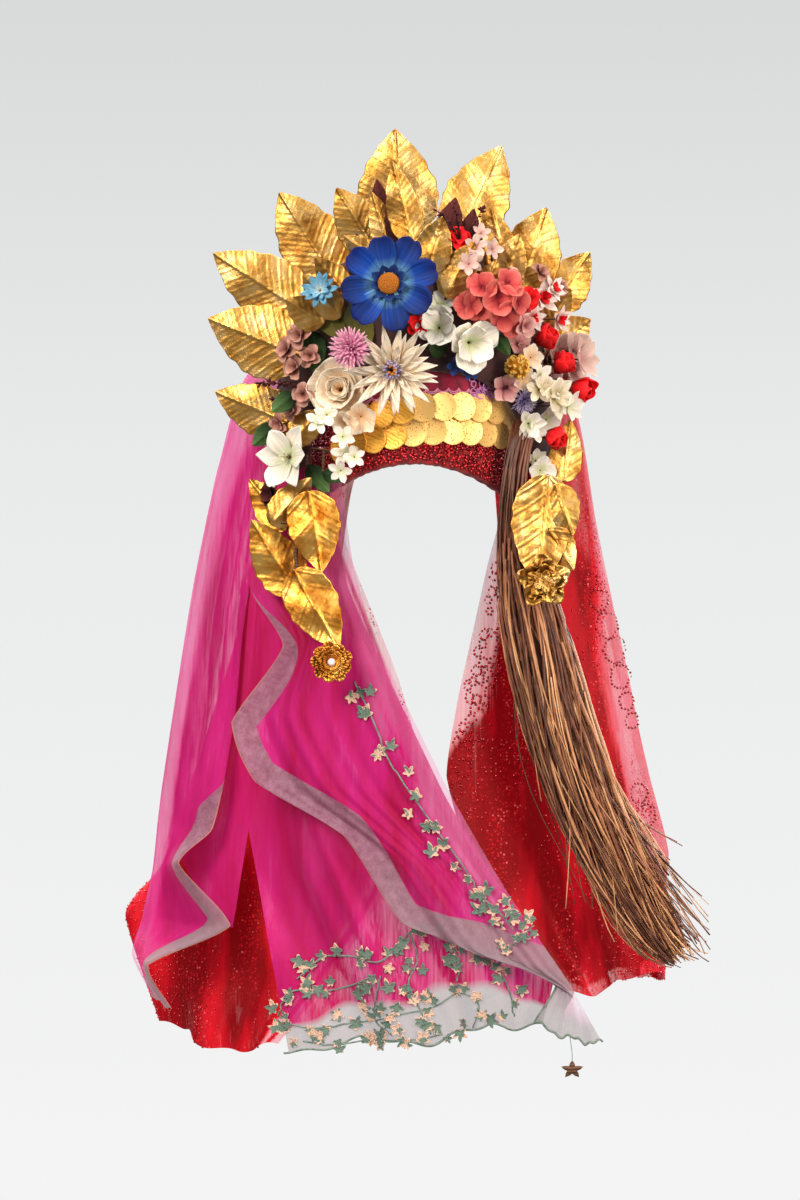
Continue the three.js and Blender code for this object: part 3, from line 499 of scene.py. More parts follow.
UPPER_CROWN, LOWER_CROWN = 61.0, 40.0
SCALLOP_DEPTH, SCALLOP_PITCH, CROCHET_LOOPS = 3.6, 11.0, 26
lace = Heap()
angle = np.radians(np.linspace(-70, 74, 700))
for offset, lift in ((4.4, 15.0), (4.6, 16.6)):
    scallop = SCALLOP_DEPTH * np.abs(np.sin(angle * CAP_HALF_DEPTH * math.pi / SCALLOP_PITCH)) ** 0.6
    lace.tube(cap_seat(angle, coin_height(angle, UPPER_CROWN) + lift - scallop, offset)[0], 0.5, 5)
rng = np.random.default_rng(12)
for _ in range(CROCHET_LOOPS):
    middle, height = np.radians(rng.uniform(29, 44)), rng.uniform(66, 95)
    turn = np.linspace(0, 2 * math.pi, 22)
    reach = rng.uniform(2.5, 5.0)
    path = cap_seat(middle + reach * np.cos(turn) / CAP_HALF_DEPTH, height + reach * np.sin(turn),
                    4.6 + rng.uniform(0, 1.5) + 0.4 * np.sin(3 * turn))[0]
    lace.tube(path, 0.55, 5, slot=1)
kerchief_lace = lace.piece("kerchief_lace", [PINK_LACE, LILAC_LACE], slot="crimson_cloth")

# %% [markdown]
# ## Coins
# Two rows of thin stamped coins overlap like scales. The ones at the right are pale and pricked all over,
# and the ones at the left are darker with engraved lines. Each is a turned disc with a raised rim that
# leans on the next one. A strip behind each row stands for the backing that the coins are sewn to.

# %% Gilt finishes
def stamped_gilt(name, bright, middle, deep, dot_depth, line_depth):
    """Gilt sheet brass, stamped: a warm metal whose low places hold dark lacquer. The dots are 2.4 mm
    apart and the lines 2 mm, coarser than real, so that they show."""
    look = Finish(name)
    dots = look.span(look.cells(2.4), 0.16, 0.30, 1 - dot_depth)
    waves = look.waves(2.0, 5.0, "DIAGONAL", 1.4)
    stamp = look.maths("MULTIPLY", dots, look.span(waves, 0.05, 0.45, 1 - line_depth))
    wear = look.maths("MULTIPLY_ADD", look.noise(6.0), 0.6, stamp)
    shade = look.ramp(wear, (0.3, deep), (0.8, middle), (1.0, bright))
    return look.done(look.surface(shade, 0.42, look.bump(stamp, 0.5, 0.4), {"Metallic": 0.42}))


PALE_GILT = stamped_gilt("pale_gilt_brass", "#FFD27C", "#F6BE5C", "#8E5414", 1.0, 0.1)
DEEP_GILT = stamped_gilt("deep_gilt_brass", "#F2B848", "#DA942A", "#8A4E12", 0.3, 0.5)

# %% Coin rows
COIN_PITCH, COIN_LEAN, COIN_DROOP, COIN_WOBBLE = 19.0, -0.08, 0.06, 0.012
COIN_HALF_THICKNESS, BACKING_ROOM, BACKING_DEPTH = 0.45, 18.0, 0.9
COIN_STEP = COIN_PITCH / ((CAP_HALF_WIDTH + CAP_HALF_DEPTH) / 2)
LEFT_COINS = 4
COIN_PROFILE = [
    # radius, height
    (0.8, 0.3), (4.0, 0.45), (11.2, 0.3), (11.9, 0.5), (12.7, 0.5), (13.2, 0.25), (13.2, -0.3),
    (12.4, -0.45), (0.8, -0.45),
]
rng = np.random.default_rng(13)
COIN_ROWS = [
    # node, crown height, offset, first angle, coins
    ("coin_row_upper", UPPER_CROWN, 4.2, -38.0, 10),
    ("coin_row_lower", LOWER_CROWN, 1.3, -43.0, 11),
]
for node, crown, offset, first, coins in COIN_ROWS:
    row = Heap()
    for number in range(coins):
        angle = math.radians(first) + number * COIN_STEP
        place, facing = cap_seat(angle, coin_height(angle, crown), offset + COIN_HALF_THICKNESS)
        shingled = unit(facing + COIN_LEAN * np.array([math.cos(angle), math.sin(angle), 0])
                        + [0, 0, COIN_DROOP])
        turn = frames_along(tipped(shingled[None], rng, COIN_WOBBLE), rng.uniform(0, 6))
        row.scatter(*turned(COIN_PROFILE, 40), place[None], turn, slot=int(number < LEFT_COINS))
    angle, share = np.meshgrid(math.radians(first) + np.linspace(-0.4, coins - 0.6, 90) * COIN_STEP,
                               np.linspace(-0.5, 0.5, 9))
    backing = coin_height(angle, crown) + BACKING_ROOM * share
    row.grid(cap_seat(angle, backing, offset - BACKING_DEPTH)[0], slot=1)
    row.piece(node + "_gilt", [PALE_GILT, DEEP_GILT], [node], "gilt_coin")

# %% [markdown]
# ## Crest
# All the stems are sewn into a padded arch of dark felt that stands round the cap. It shows only as dark
# places between the leaves and flowers, and from behind. Its section is swept along the arch, rounded at
# both edges as stuffed felt is.

# %% Crest pad
CREST_FRONT, CREST_SWEEP, CREST_LAST_X = -116.0, 84.0, 118.0
CREST_HALF_WIDTH, CREST_HEIGHT, CREST_BASE = 125.0, 182.0, 20.0
CREST_INNER_HALF_WIDTH, CREST_INNER_HEIGHT, CREST_HALF_THICKNESS = 95.0, 72.0, 6.0
CREST_REACH, CREST_SQUARENESS = 95.0, 0.77


def crest_y(x):
    return CREST_FRONT + CREST_SWEEP * (np.minimum(np.abs(x), CREST_LAST_X) / CREST_HALF_WIDTH) ** 2


def crest_facing(x):
    slope = 2 * CREST_SWEEP * np.clip(x, -CREST_LAST_X, CREST_LAST_X) / CREST_HALF_WIDTH ** 2
    return unit(np.stack([slope, -1 + 0 * slope, 0 * slope], -1))


def signed_power(value, exponent):
    return np.sign(value) * np.abs(value) ** exponent


MAROON_FELT = woven_cloth("maroon_felt", "#4A1A1C", "#200A0C", 1.2, 11.0)
along, turn = np.meshgrid(np.radians(np.linspace(-CREST_REACH, CREST_REACH, 90)),
                          np.linspace(0, 2 * math.pi, 28, endpoint=False), indexing="ij")
station = 0.5 - 0.5 * np.cos(turn)
width = CREST_INNER_HALF_WIDTH + station * (CREST_HALF_WIDTH - CREST_INNER_HALF_WIDTH)
height = CREST_INNER_HEIGHT + station * (CREST_HEIGHT - CREST_INNER_HEIGHT)
x = width * signed_power(np.sin(along), CREST_SQUARENESS)
z = CREST_BASE + height * signed_power(np.cos(along), CREST_SQUARENESS)
puff = CREST_HALF_THICKNESS * signed_power(np.sin(turn), 0.45) * (1 + 0.06 * np.sin(30 * along))
middle = np.stack([x, CREST_FRONT + CREST_SWEEP * (x / CREST_HALF_WIDTH) ** 2, z], -1)
crest = Heap()
crest.grid(middle + crest_facing(x) * puff[..., None], wrap=True, ends=True)
crest_felt = crest.piece("crest_felt", [MAROON_FELT], ["crest_pad"], "maroon_cloth")

# %% [markdown]
# ## Foil leaves
# The crown is a fan of leaves pressed from thin gilt foil on a wire. Pressing leaves a midrib, slanting
# veins and pillows between them, and handling leaves creases. The veins and creases are in the mesh,
# because foil shows its shape by what it mirrors, and only the finest crinkle is bump.

# %% Foil finish
def gilt_foil(name, bright, middle, deep):
    """Gilt foil on paper, pressed and handled: a mirror with fine crinkles about 3 mm apart."""
    look = Finish(name)
    tarnish = look.noise(16.0, 5.0)
    shade = look.ramp(tarnish, (0.32, deep), (0.5, middle), (0.7, bright))
    crinkle = look.maths("MULTIPLY_ADD", look.noise(1.5, 3.0), 1.3, look.cells(3.0))
    gloss = look.span(tarnish, first=0.48, last=0.34)
    return look.done(look.surface(shade, gloss, look.bump(crinkle, 0.28, 0.5), {"Metallic": 1.0}))


def taped_wire(name, light, dark):
    """Florist's wire wound with paper tape: dull, with turns of tape about 3 mm wide."""
    look = Finish(name)
    turns = look.waves(3.0, 2.0, "Z")
    shade = look.ramp(turns, (0.2, dark), (0.8, light))
    return look.done(look.surface(shade, 0.7, look.bump(turns, 0.5, 0.3)))


GOLD_FOIL = gilt_foil("gilt_foil", "#DEBA7C", "#C89A50", "#A06C2C")
AMBER_FOIL = gilt_foil("amber_foil", "#F4C66A", "#DFA046", "#A8641E")
BROWN_TAPE = taped_wire("brown_taped_wire", "#6A4426", "#3A2212")

# %% Leaf form
FOLD, LEAF_CELL, VEIN_SLANT, WIRE_RADIUS = 0.09, 1.25, 0.95, 1.1


def leaf_breadth(t):
    return (t + 0.004) ** 0.51 * (1.004 - t) ** 0.9 / 0.3852


def creases(u, v, rng, count, finest, coarsest):
    """Sharp folds in random directions: the sum of many bent waves."""
    total = 0 * u
    for _ in range(count):
        turn, length = rng.uniform(0, math.pi), rng.uniform(finest, coarsest)
        wave = math.pi * (u * math.cos(turn) + v * math.sin(turn)) / length + rng.uniform(0, 6)
        total = total + (np.abs(np.sin(wave)) - 0.64) * length
    return total / (count * coarsest)


def pressed_leaf(heap, seat, base, tip, width, rng, veins=8, crinkle=1.0, slot=0, wire=1, bow=0.0):
    """Adds a leaf with veins, pillows and creases, and the wire from its seat to its middle."""
    seat, base, tip = (np.asarray(p, float) for p in (seat, base, tip))
    length = np.linalg.norm(tip - base)
    forward = (tip - base) / length
    facing = unit(np.array([0, -1.0, 0]) + forward * forward[1])
    sideways = np.cross(forward, facing)
    t = np.linspace(0, 1, int(length / LEAF_CELL))[:, None]
    s = np.linspace(-1, 1, 2 * int(width / LEAF_CELL / 2) + 1)[None]
    nibble = 1 + 0.025 * np.sin(40 * t + rng.uniform(0, 6)) + 0.02 * np.sin(23 * t + 9 * np.sign(s))
    half = width / 2 * leaf_breadth(t) * nibble
    u, v = t * length + 0 * s, s * half
    pitch = length / veins
    course = (u - VEIN_SLANT * np.abs(v) + 0.006 * v ** 2) / pitch
    from_vein = np.abs(course - np.round(course)) * pitch
    vein = 0.8 * np.exp(-(from_vein / 1.0) ** 2) + 1.1 * np.exp(-(v / 1.3) ** 2)
    pillow = 0.03 * pitch * np.abs(np.sin(math.pi * course))
    bend = sum(rng.uniform(0.3, 0.9) * np.sin(rng.uniform(0.06, 0.16) * u + rng.uniform(-0.16, 0.16) * v
                                              + rng.uniform(0, 6)) for _ in range(4))
    handled = crinkle * (bend + 1.2 * creases(u, v, rng, 8, 4.0, 14.0))
    twist = rng.uniform(-0.06, 0.06) * v * (t - 0.4)
    lift = vein + pillow - 2 * FOLD * np.abs(v) + handled + bow * length * (t - t ** 2) + twist
    points = base + u[..., None] * forward + v[..., None] * sideways + lift[..., None] * facing
    heap.grid(points, slot, along=t + 0 * s, across=s + 0 * t, tone=rng.uniform())
    heap.tube(smooth_line([seat, (seat + base) / 2 + 1.5 * facing, base, base + 0.2 * (tip - base)],
                          np.linspace(0, 1, 12)) - 1.2 * facing, WIRE_RADIUS, 6, slot=wire)


def crest_leaf(heap, tip, base, depth, lean, anchor, width, rng, **looks):
    """Adds a leaf whose place is given in x and z, and by its depth from the crest."""
    root = [base[0], crest_y(base[0]) + depth, base[1]]
    end = [tip[0], root[1] + lean, tip[1]]
    seat = [anchor[0], crest_y(anchor[0]), anchor[1]]
    pressed_leaf(heap, seat, root, end, width, rng, **looks)


# %% Crown leaves
CROWN_LEAVES = [
    # leaf, tip x z, base x z, width, depth from the crest, lean of the tip, anchor x z
    ("top", (-18, 308), (-14, 210), 70, 22, 6, (-13, 184)),
    ("top_front", (-20, 277), (-3, 204), 30, -9, 2, (0, 180)),
    ("top_right", (77, 294), (40, 213), 57, 15, 20, (32, 180)),
    ("top_left", (-70, 255), (-33, 196), 42, 9, 4, (-30, 176)),
    ("upper_left", (-122, 254), (-72, 176), 58, 24, 12, (-66, 160)),
    ("left", (-181, 199), (-98, 146), 57, -8, 14, (-92, 142)),
    ("mid_left", (-185, 140), (-100, 106), 64, -22, 12, (-96, 104)),
    ("low_left", (-180, 75), (-114, 48), 45, -10, 10, (-108, 46)),
    ("upper_right", (118, 240), (94, 168), 54, 9, 8, (84, 146)),
    ("right", (158, 201), (121, 150), 43, 4, 8, (94, 134)),
    ("low_right", (159, 141), (127, 118), 34, 12, 6, (108, 108)),
    ("inner_right", (68, 237), (80, 182), 28, -12, 0, (80, 160)),
    ("inner_left", (-89, 193), (-60, 160), 27, -9, 2, (-56, 156)),
]
FOIL_THICKNESS = 0.35
for number, (leaf, tip, base, width, depth, lean, anchor) in enumerate(CROWN_LEAVES):
    heap = Heap()
    crest_leaf(heap, tip, base, depth, lean, anchor, width, np.random.default_rng(100 + number),
               veins=max(6, round(width / 7)))
    node = "crown_leaf_" + leaf
    heap.piece(node + "_foil", [GOLD_FOIL, BROWN_TAPE], [node], "gold_foil", FOIL_THICKNESS)

# %% Small foil leaves between the large ones
SMALL_LEAVES = [
    # tip x z, base x z, width, depth from the crest, lean, anchor x z
    ((-82, 59), (-112, 29), 27, -30, -8, (-110, 32)),
    ((24, 228), (9, 178), 34, -12, -4, (8, 172)),
    ((52, 206), (27, 157), 32, -13, -4, (26, 152)),
    ((-63, 211), (-21, 178), 28, -14, -6, (-24, 172)),
    ((-115, 156), (-81, 135), 30, -26, -6, (-84, 136)),
    ((-100, 178), (-66, 140), 26, -16, -8, (-70, 140)),
    ((72, 190), (56, 148), 28, -16, -6, (58, 146)),
    ((92, 214), (78, 168), 30, -18, -4, (78, 158)),
    ((140, 168), (118, 132), 26, -8, -4, (106, 126)),
    ((-38, 250), (-22, 196), 24, -2, 2, (-20, 178)),
    ((57, 222), (68, 172), 32, -8, -2, (66, 160)),
]
heap = Heap()
rng = np.random.default_rng(140)
for tip, base, width, depth, lean, anchor in SMALL_LEAVES:
    crest_leaf(heap, tip, base, depth, lean, anchor, width, rng, veins=6, crinkle=0.8)
heap.piece("small_crown_leaves", [GOLD_FOIL, BROWN_TAPE], slot="gold_foil", thickness=FOIL_THICKNESS)

# %% [markdown]
# ## Silk flowers
# The flowers are cut from dyed silk cloth, stiffened and pressed, one petal at a time. A petal here is a
# small grid: its outline comes from a short row of breadths, and it is lifted, curled and cupped like the
# pressed cloth. A flower form is a table of petal rings in shares of the flower's radius, so the same
# form serves at several sizes. The colour runs from root to tip, with faint streaks and a tone for each
# petal.

# %% Silk finish
def dyed_silk(name, root, middle, tip, streak=0.25, roughness=0.75, darkest=0.92):
    """Dyed silk cloth: soft and matte, letting a little light through."""
    look = Finish(name)
    along, across, tone = (look.value(value) for value in VALUES)
    dye = look.ramp(along, (0.06, root), (0.45, middle), (0.95, tip))
    lines = look.node("CombineXYZ", {"X": along, "Y": across, "Z": tone})
    spread = look.node("VectorMath", {0: lines, 1: (1.2, 9.0, 40.0)}, "Vector", operation="MULTIPLY")
    veins = look.node("TexNoise", {"Vector": spread, "Scale": 1.0, "Detail": 4.0}, "Fac")
    depth = look.span(veins, 0.25, 0.7, 1 - streak, 1.1)
    value = look.maths("MULTIPLY", depth, look.span(tone, first=darkest, last=1.12))
    shade = look.node("HueSaturation", {"Color": dye, "Value": value}, "Color")
    relief = look.bump(look.maths("ADD", veins, look.noise(0.9)), 0.35, 0.5)
    cloth = look.surface(shade, roughness, relief, {"Specular IOR Level": 0.22, "Sheen Weight": 0.04})
    return look.done(look.lit_through(0.22, cloth, shade))


SILKS = {
    # dye: root, middle and tip, then the streaks' depth, the roughness and the darkest petal
    "blue": ("#8CD2EE", "#1450BC", "#08247A", 0.65, 0.62, 0.62),
    "sky": ("#E4EEF0", "#8CC2DA", "#5A9EC4"),
    "white": ("#DCE4B4", "#FBF6EA", "#FFFDF6"),
    "coral": ("#9C2630", "#D05050", "#E4786E"),
    "blush": ("#D2586A", "#F8E2DA", "#FFF6F0"),
    "pale": ("#C8938E", "#DCBAB0", "#E4CABE"),
    "red": ("#940610", "#E60C18", "#FF2228", 0.25, 0.6),
    "cream": ("#C7B77C", "#F8ECD0", "#FFF8E8"),
    "yellow": ("#C07A1A", "#EEB438", "#FBDC80"),
    "pink": ("#9A4E58", "#E09C9C", "#F2C8C0"),
    "peach": ("#ECC090", "#FFE6C4", "#FFF6E4"),
    "mauve": ("#C83A84", "#E87CB2", "#F6C2DA"),
    "dahlia": ("#D8B080", "#FCEBD0", "#FFF8EA"),
    "dried": ("#6A3630", "#B47A6C", "#D8A898"),
    "maroon": ("#200608", "#421216", "#6A302E"),
    "lilac": ("#4A3C6E", "#8A78AE", "#C0B2D2"),
    "olive": ("#2C2C0C", "#4E4C1A", "#6C6628"),
    "green": ("#1A2C14", "#34522A", "#587A44"),
    "amber": ("#5E2C0A", "#B4661C", "#D88E36"),
    "navy": ("#0E1C48", "#16306E", "#2A4E98"),
}
SILK = {dye: dyed_silk(dye + "_silk", *colours) for dye, colours in SILKS.items()}
print("silks:", len(SILK))

# %% Petals
OUTLINES = {
    "round": [0.30, 0.60, 0.88, 1.0, 0.94, 0.62],
    "notched": [0.34, 0.58, 0.84, 0.98, 1.0, 0.80],
    "pointed": [0.26, 0.72, 1.0, 0.92, 0.56, 0.02],
    "oblong": [0.42, 0.74, 0.96, 1.0, 0.80, 0.12],
    "broad": [0.46, 0.82, 1.0, 1.0, 0.92, 0.66],
    "strap": [0.55, 0.85, 1.0, 0.95, 0.72, 0.10],
}
BLUNT = {"round": 0.2, "broad": 0.16, "notched": 0.12}
NOTCH = {"notched": 0.07}
CLOSED_CUP = 0.5


def petal(length, width, outline, lift, curl, cup, rng, rows=13, columns=9):
    """One petal as a grid, lying along +X, across Y, with its face up."""
    t = np.linspace(0, 1, rows)[:, None]
    s = np.linspace(-1, 1, columns)[None]
    half = width / 2 * smooth_line(OUTLINES[outline], t[:, 0])[:, None]
    slope = lift + curl * t
    step = length / (rows - 1)
    out = np.concatenate([[[0]], np.cumsum(step * np.cos(slope[1:]), 0)])
    up = np.concatenate([[[0]], np.cumsum(step * np.sin(slope[1:]), 0)])
    short = BLUNT.get(outline, 0.0) * length * t ** 5 * s ** 2
    short = short + NOTCH.get(outline, 0.0) * length * t ** 8 * np.exp(-(s / 0.3) ** 2)
    crease = 0.10 if cup < CLOSED_CUP else 0.0
    swell = cup * half * s ** 2 - crease * half * np.exp(-(s / 0.16) ** 2)
    swell = swell + 0.05 * length * t * s ** 2 * np.sin(7 * t + 3 * s + rng.uniform(0, 6))
    x = out - short * np.cos(slope) - swell * np.sin(slope)
    z = up - short * np.sin(slope) + swell * np.cos(slope)
    return np.stack([x + 0 * s, s * half, z + 0 * s], -1), t + 0 * s, s + 0 * t


FLOWER_FORMS = {
    # ring: petals, length, width, outline, lift, curl, cup, start, root, dye slot
    "cosmos": [
        (8, 1.0, 0.54, "notched", 8, 12, 0.34, 0.0, 0.12, 0),
        (9, 0.44, 0.2, "pointed", 24, 30, 0.3, 0.5, 0.14, 1),
    ],
    "aster": [
        (11, 1.0, 0.34, "oblong", 14, 10, 0.2, 0.0, 0.06, 0),
        (9, 0.8, 0.32, "oblong", 38, -6, 0.2, 0.4, 0.05, 0),
    ],
    "freesia": [
        (3, 1.0, 0.98, "broad", 14, 26, 0.2, 0.1, 0.04, 0),
        (3, 0.9, 0.8, "round", 38, 12, 0.3, 0.6, 0.04, 0),
    ],
    "floret": [(4, 1.0, 1.06, "broad", 10, 18, 0.12, 0.0, 0.02, 0)],
    "spray": [
        (5, 1.0, 0.5, "pointed", 20, 8, 0.2, 0.0, 0.04, 0),
        (4, 0.8, 0.46, "pointed", 42, 4, 0.3, 0.5, 0.04, 0),
        (3, 0.62, 0.4, "round", 62, -8, 0.4, 0.2, 0.03, 1),
    ],
    "flat": [(5, 1.0, 0.82, "round", 14, 12, 0.14, 0.0, 0.05, 0)],
    "star": [(5, 1.0, 0.6, "oblong", 10, 14, 0.15, 0.0, 0.05, 0)],
    "lily": [
        (3, 1.0, 0.62, "pointed", 10, 16, 0.24, 0.25, 0.05, 0),
        (3, 0.94, 0.68, "oblong", 22, 14, 0.26, 0.75, 0.05, 0),
    ],
    "poppy": [(4, 1.0, 1.0, "broad", 16, 10, 0.2, 0.15, 0.04, 0)],
    "rose": [
        (5, 1.0, 1.12, "broad", 12, 28, 0.1, 0.0, 0.05, 0),
        (5, 0.86, 1.0, "broad", 34, 18, 0.26, 0.5, 0.06, 0),
        (4, 0.64, 0.8, "broad", 58, 6, 0.46, 0.2, 0.08, 0),
        (3, 0.48, 0.62, "broad", 76, -14, 0.6, 0.6, 0.06, 0),
    ],
    "bud": [
        (3, 1.0, 0.98, "round", 42, 58, 0.56, 0.0, 0.03, 0),
        (3, 0.94, 0.86, "round", 56, 40, 0.62, 0.5, 0.03, 0),
        (2, 0.88, 0.7, "round", 76, 14, 0.85, 0.2, 0.02, 0),
    ],
    "mum": [
        (24, 1.0, 0.14, "strap", 2, 14, 0.3, 0.0, 0.08, 0),
        (24, 0.94, 0.13, "strap", 14, 12, 0.3, 0.5, 0.08, 0),
        (22, 0.86, 0.13, "strap", 28, 10, 0.3, 0.2, 0.08, 0),
        (18, 0.76, 0.12, "strap", 44, 8, 0.3, 0.6, 0.07, 0),
        (13, 0.66, 0.12, "strap", 60, 4, 0.3, 0.3, 0.05, 0),
        (8, 0.56, 0.12, "strap", 80, -6, 0.3, 0.1, 0.02, 0),
    ],
    "dahlia": [
        (15, 1.0, 0.19, "pointed", 2, 12, 0.34, 0.0, 0.08, 0),
        (14, 0.9, 0.18, "pointed", 12, 12, 0.36, 0.5, 0.09, 0),
        (12, 0.72, 0.16, "pointed", 24, 10, 0.4, 0.25, 0.1, 0),
        (9, 0.48, 0.11, "pointed", 46, 6, 0.4, 0.6, 0.1, 0),
    ],
    "crumple": [
        (4, 1.0, 0.9, "broad", 24, -30, 0.5, 0.0, 0.03, 0),
        (3, 0.8, 0.8, "broad", 52, -24, 0.6, 0.5, 0.03, 0),
    ],
}


def petal_grid(width):
    """Rows and columns of a petal's grid: fewer for narrow petals."""
    if width < 8:
        return 7, 5
    return (9, 7) if width < 17 else (13, 9)


def bloom(heap, place, axis, form, radius, rng, dyes=(0, 1), turn=0.0):
    """Adds one flower of a form, facing along an axis."""
    basis = frames_along(axis, turn)[0]
    for count, length, width, outline, lift, curl, cup, start, root, dye in FLOWER_FORMS[form]:
        for number in range(count):
            size = radius * rng.uniform(0.92, 1.04)
            grid, along, across = petal(
                (length - root) * size, width * size, outline, math.radians(lift + rng.normal(0, 4)),
                math.radians(curl + rng.normal(0, 6)), cup, rng, *petal_grid(radius * width))
            spin = 2 * math.pi * (number + start) / count + rng.normal(0, 0.05)
            c, s = math.cos(spin), math.sin(spin)
            x = grid[..., 0] + root * radius
            local = np.stack([c * x - s * grid[..., 1], s * x + c * grid[..., 1], grid[..., 2]], -1)
            heap.grid(place + local @ basis, dyes[dye], along=along, across=across, tone=rng.uniform())


def stamens(heap, place, axis, count, length, spread, rng, slot, head=0.8):
    """Adds a tuft of threads with thick heads that lean out from an axis."""
    basis = frames_along(axis)[0]
    for _ in range(count):
        lean, turn = spread * rng.uniform(0.15, 1) ** 0.5, rng.uniform(0, 2 * math.pi)
        flat = math.sin(lean)
        aim = np.array([flat * math.cos(turn), flat * math.sin(turn), math.cos(lean)]) @ basis
        reach = length * rng.uniform(0.7, 1.0)
        shares, swelling = np.array([0.0, 0.5, 0.8, 0.92, 1.0]), np.array([0.35, 0.35, 0.4, 1.0, 0.3])
        heap.tube(place + np.outer(shares * reach, aim), head * swelling, 5, slot, tone=rng.uniform())


GOLDEN_ANGLE = math.pi * (3 - math.sqrt(5))
BALL_PETALS, EYE_GRAINS = 90, 110
BALL_CORE = [(0.2, -0.9), (0.75, -0.5), (0.88, 0), (0.7, 0.55), (0.15, 0.86)]


def ball(heap, place, axis, radius, rng, slot=0):
    """A round head of many small petals on a spiral."""
    core = turned([(radius * out, radius * up) for out, up in BALL_CORE], 14)
    heap.scatter(*core, place[None], frames_along(axis), slot)
    number = np.arange(BALL_PETALS)
    height = 1 - 1.75 * (number + 0.5) / BALL_PETALS
    turn = number * GOLDEN_ANGLE
    flat = np.sqrt(1 - height ** 2)
    aims = np.stack([flat * np.cos(turn), flat * np.sin(turn), height], -1) @ frames_along(axis)[0]
    grid, along, _ = petal(0.42 * radius, 0.34 * radius, "round", 0.5, 0.5, 0.3, rng, 5, 5)
    heap.scatter(grid.reshape(-1, 3), grid_faces(5, 5), place + 0.8 * radius * aims,
                 frames_along(aims, rng.uniform(0, 6, BALL_PETALS)), slot, rng.uniform(0, 1, BALL_PETALS),
                 along.ravel())


def eye_disc(heap, place, axis, radius, slot):
    """The flower's middle: a low dome with rows of small grains."""
    dome = [(radius, -1.0), (radius, 2.5), (0.85 * radius, 4.2), (0.5 * radius, 5.6), (0.1 * radius, 6.0)]
    heap.scatter(*turned(dome, 24), place[None], frames_along(axis), slot, 0.4, 0.6)
    number = np.arange(1, EYE_GRAINS)
    out = 0.93 * radius * np.sqrt(number / EYE_GRAINS)
    turn = number * GOLDEN_ANGLE
    grain = np.stack([out * np.cos(turn), out * np.sin(turn), 6.0 - 3.4 * (out / radius) ** 3], -1)
    frames = np.repeat(frames_along(axis), len(number), 0)
    bead = turned([(0.55, -0.4), (0.55, 0.3), (0.2, 0.75)], 6)
    heap.scatter(*bead, place + grain @ frames[0], frames, slot, 0.5 + 0.5 * np.sin(7.0 * number), 0.7)


# %% Flowers on the crest
FLOWER_TURN = 0.5
FLOWERS = {
    # node: x, z, out from the crest's face, anchor x z, dyes, slot
    "blue_cosmos": (-23, 168, 34, (-23, 168), ("blue", "navy", "amber"), "petal_blue"),
    "sky_floret": (-86, 165, 27, (-86, 165), ("sky", "sky"), "petal_sky"),
    "white_freesia": (36, 124, 9, (36, 124), ("white", "white"), "petal_white"),
    "coral_florets": (70, 157, 40, (70, 157), ("coral", "red", "pink"), "petal_coral"),
    "blush_bloom": (111, 158, 12, (92, 146), ("blush", "red", "white"), "petal_blush"),
    "pale_petals": (143, 112, -10, (106, 106), ("pale", "blush"), "petal_blush"),
    "rosebud_upper": (113, 123, 14, (104, 122), ("red",), "petal_red"),
    "rosebud_middle": (129, 100, 15, (112, 96), ("red",), "petal_red"),
    "rosebud_right": (147, 75, 4, (112, 80), ("red",), "petal_red"),
    "rosebud_low": (121, 33, 22, (113, 33), ("red",), "petal_red"),
    "cream_bloom": (124, 70, 36, (110, 62), ("cream", "white"), "petal_cream"),
    "yellow_ball": (87, 96, 16, (87, 96), ("yellow",), "petal_yellow"),
    "dusty_bloom": (92, 117, 3, (92, 117), ("pink", "dried"), "petal_pink"),
    "pink_bloom": (80, 78, 5, (80, 82), ("pink", "maroon"), "petal_pink"),
    "peach_rose": (-66, 76, 5, (-66, 90), ("peach", "peach"), "petal_peach"),
    "mauve_mum": (-57, 111, 52, (-68, 121), ("mauve", "mauve"), "petal_mauve"),
    "cream_dahlia": (-20, 92, 23, (-20, 104), ("dahlia", "lilac", "amber"), "petal_cream"),
    "blossom_upper": (-85, 47, 44, (-97, 56), ("white", "cream"), "petal_white"),
    "blossom_lower": (-62, 19, 16, (-99, 24), ("white", "cream"), "petal_white"),
    "white_lily": (-112, 16, 34, (-112, 16), ("white", "cream"), "petal_white"),
    "dried_rose": (-102, 124, 30, (-86, 124), ("dried", "maroon"), "petal_dried"),
    "blush_sprig": (53, 202, 20, (46, 184), ("pale", "blush"), "petal_blush"),
    "low_white_bloom": (108, 12, 5, (108, 20), ("white", "cream"), "petal_white"),
}
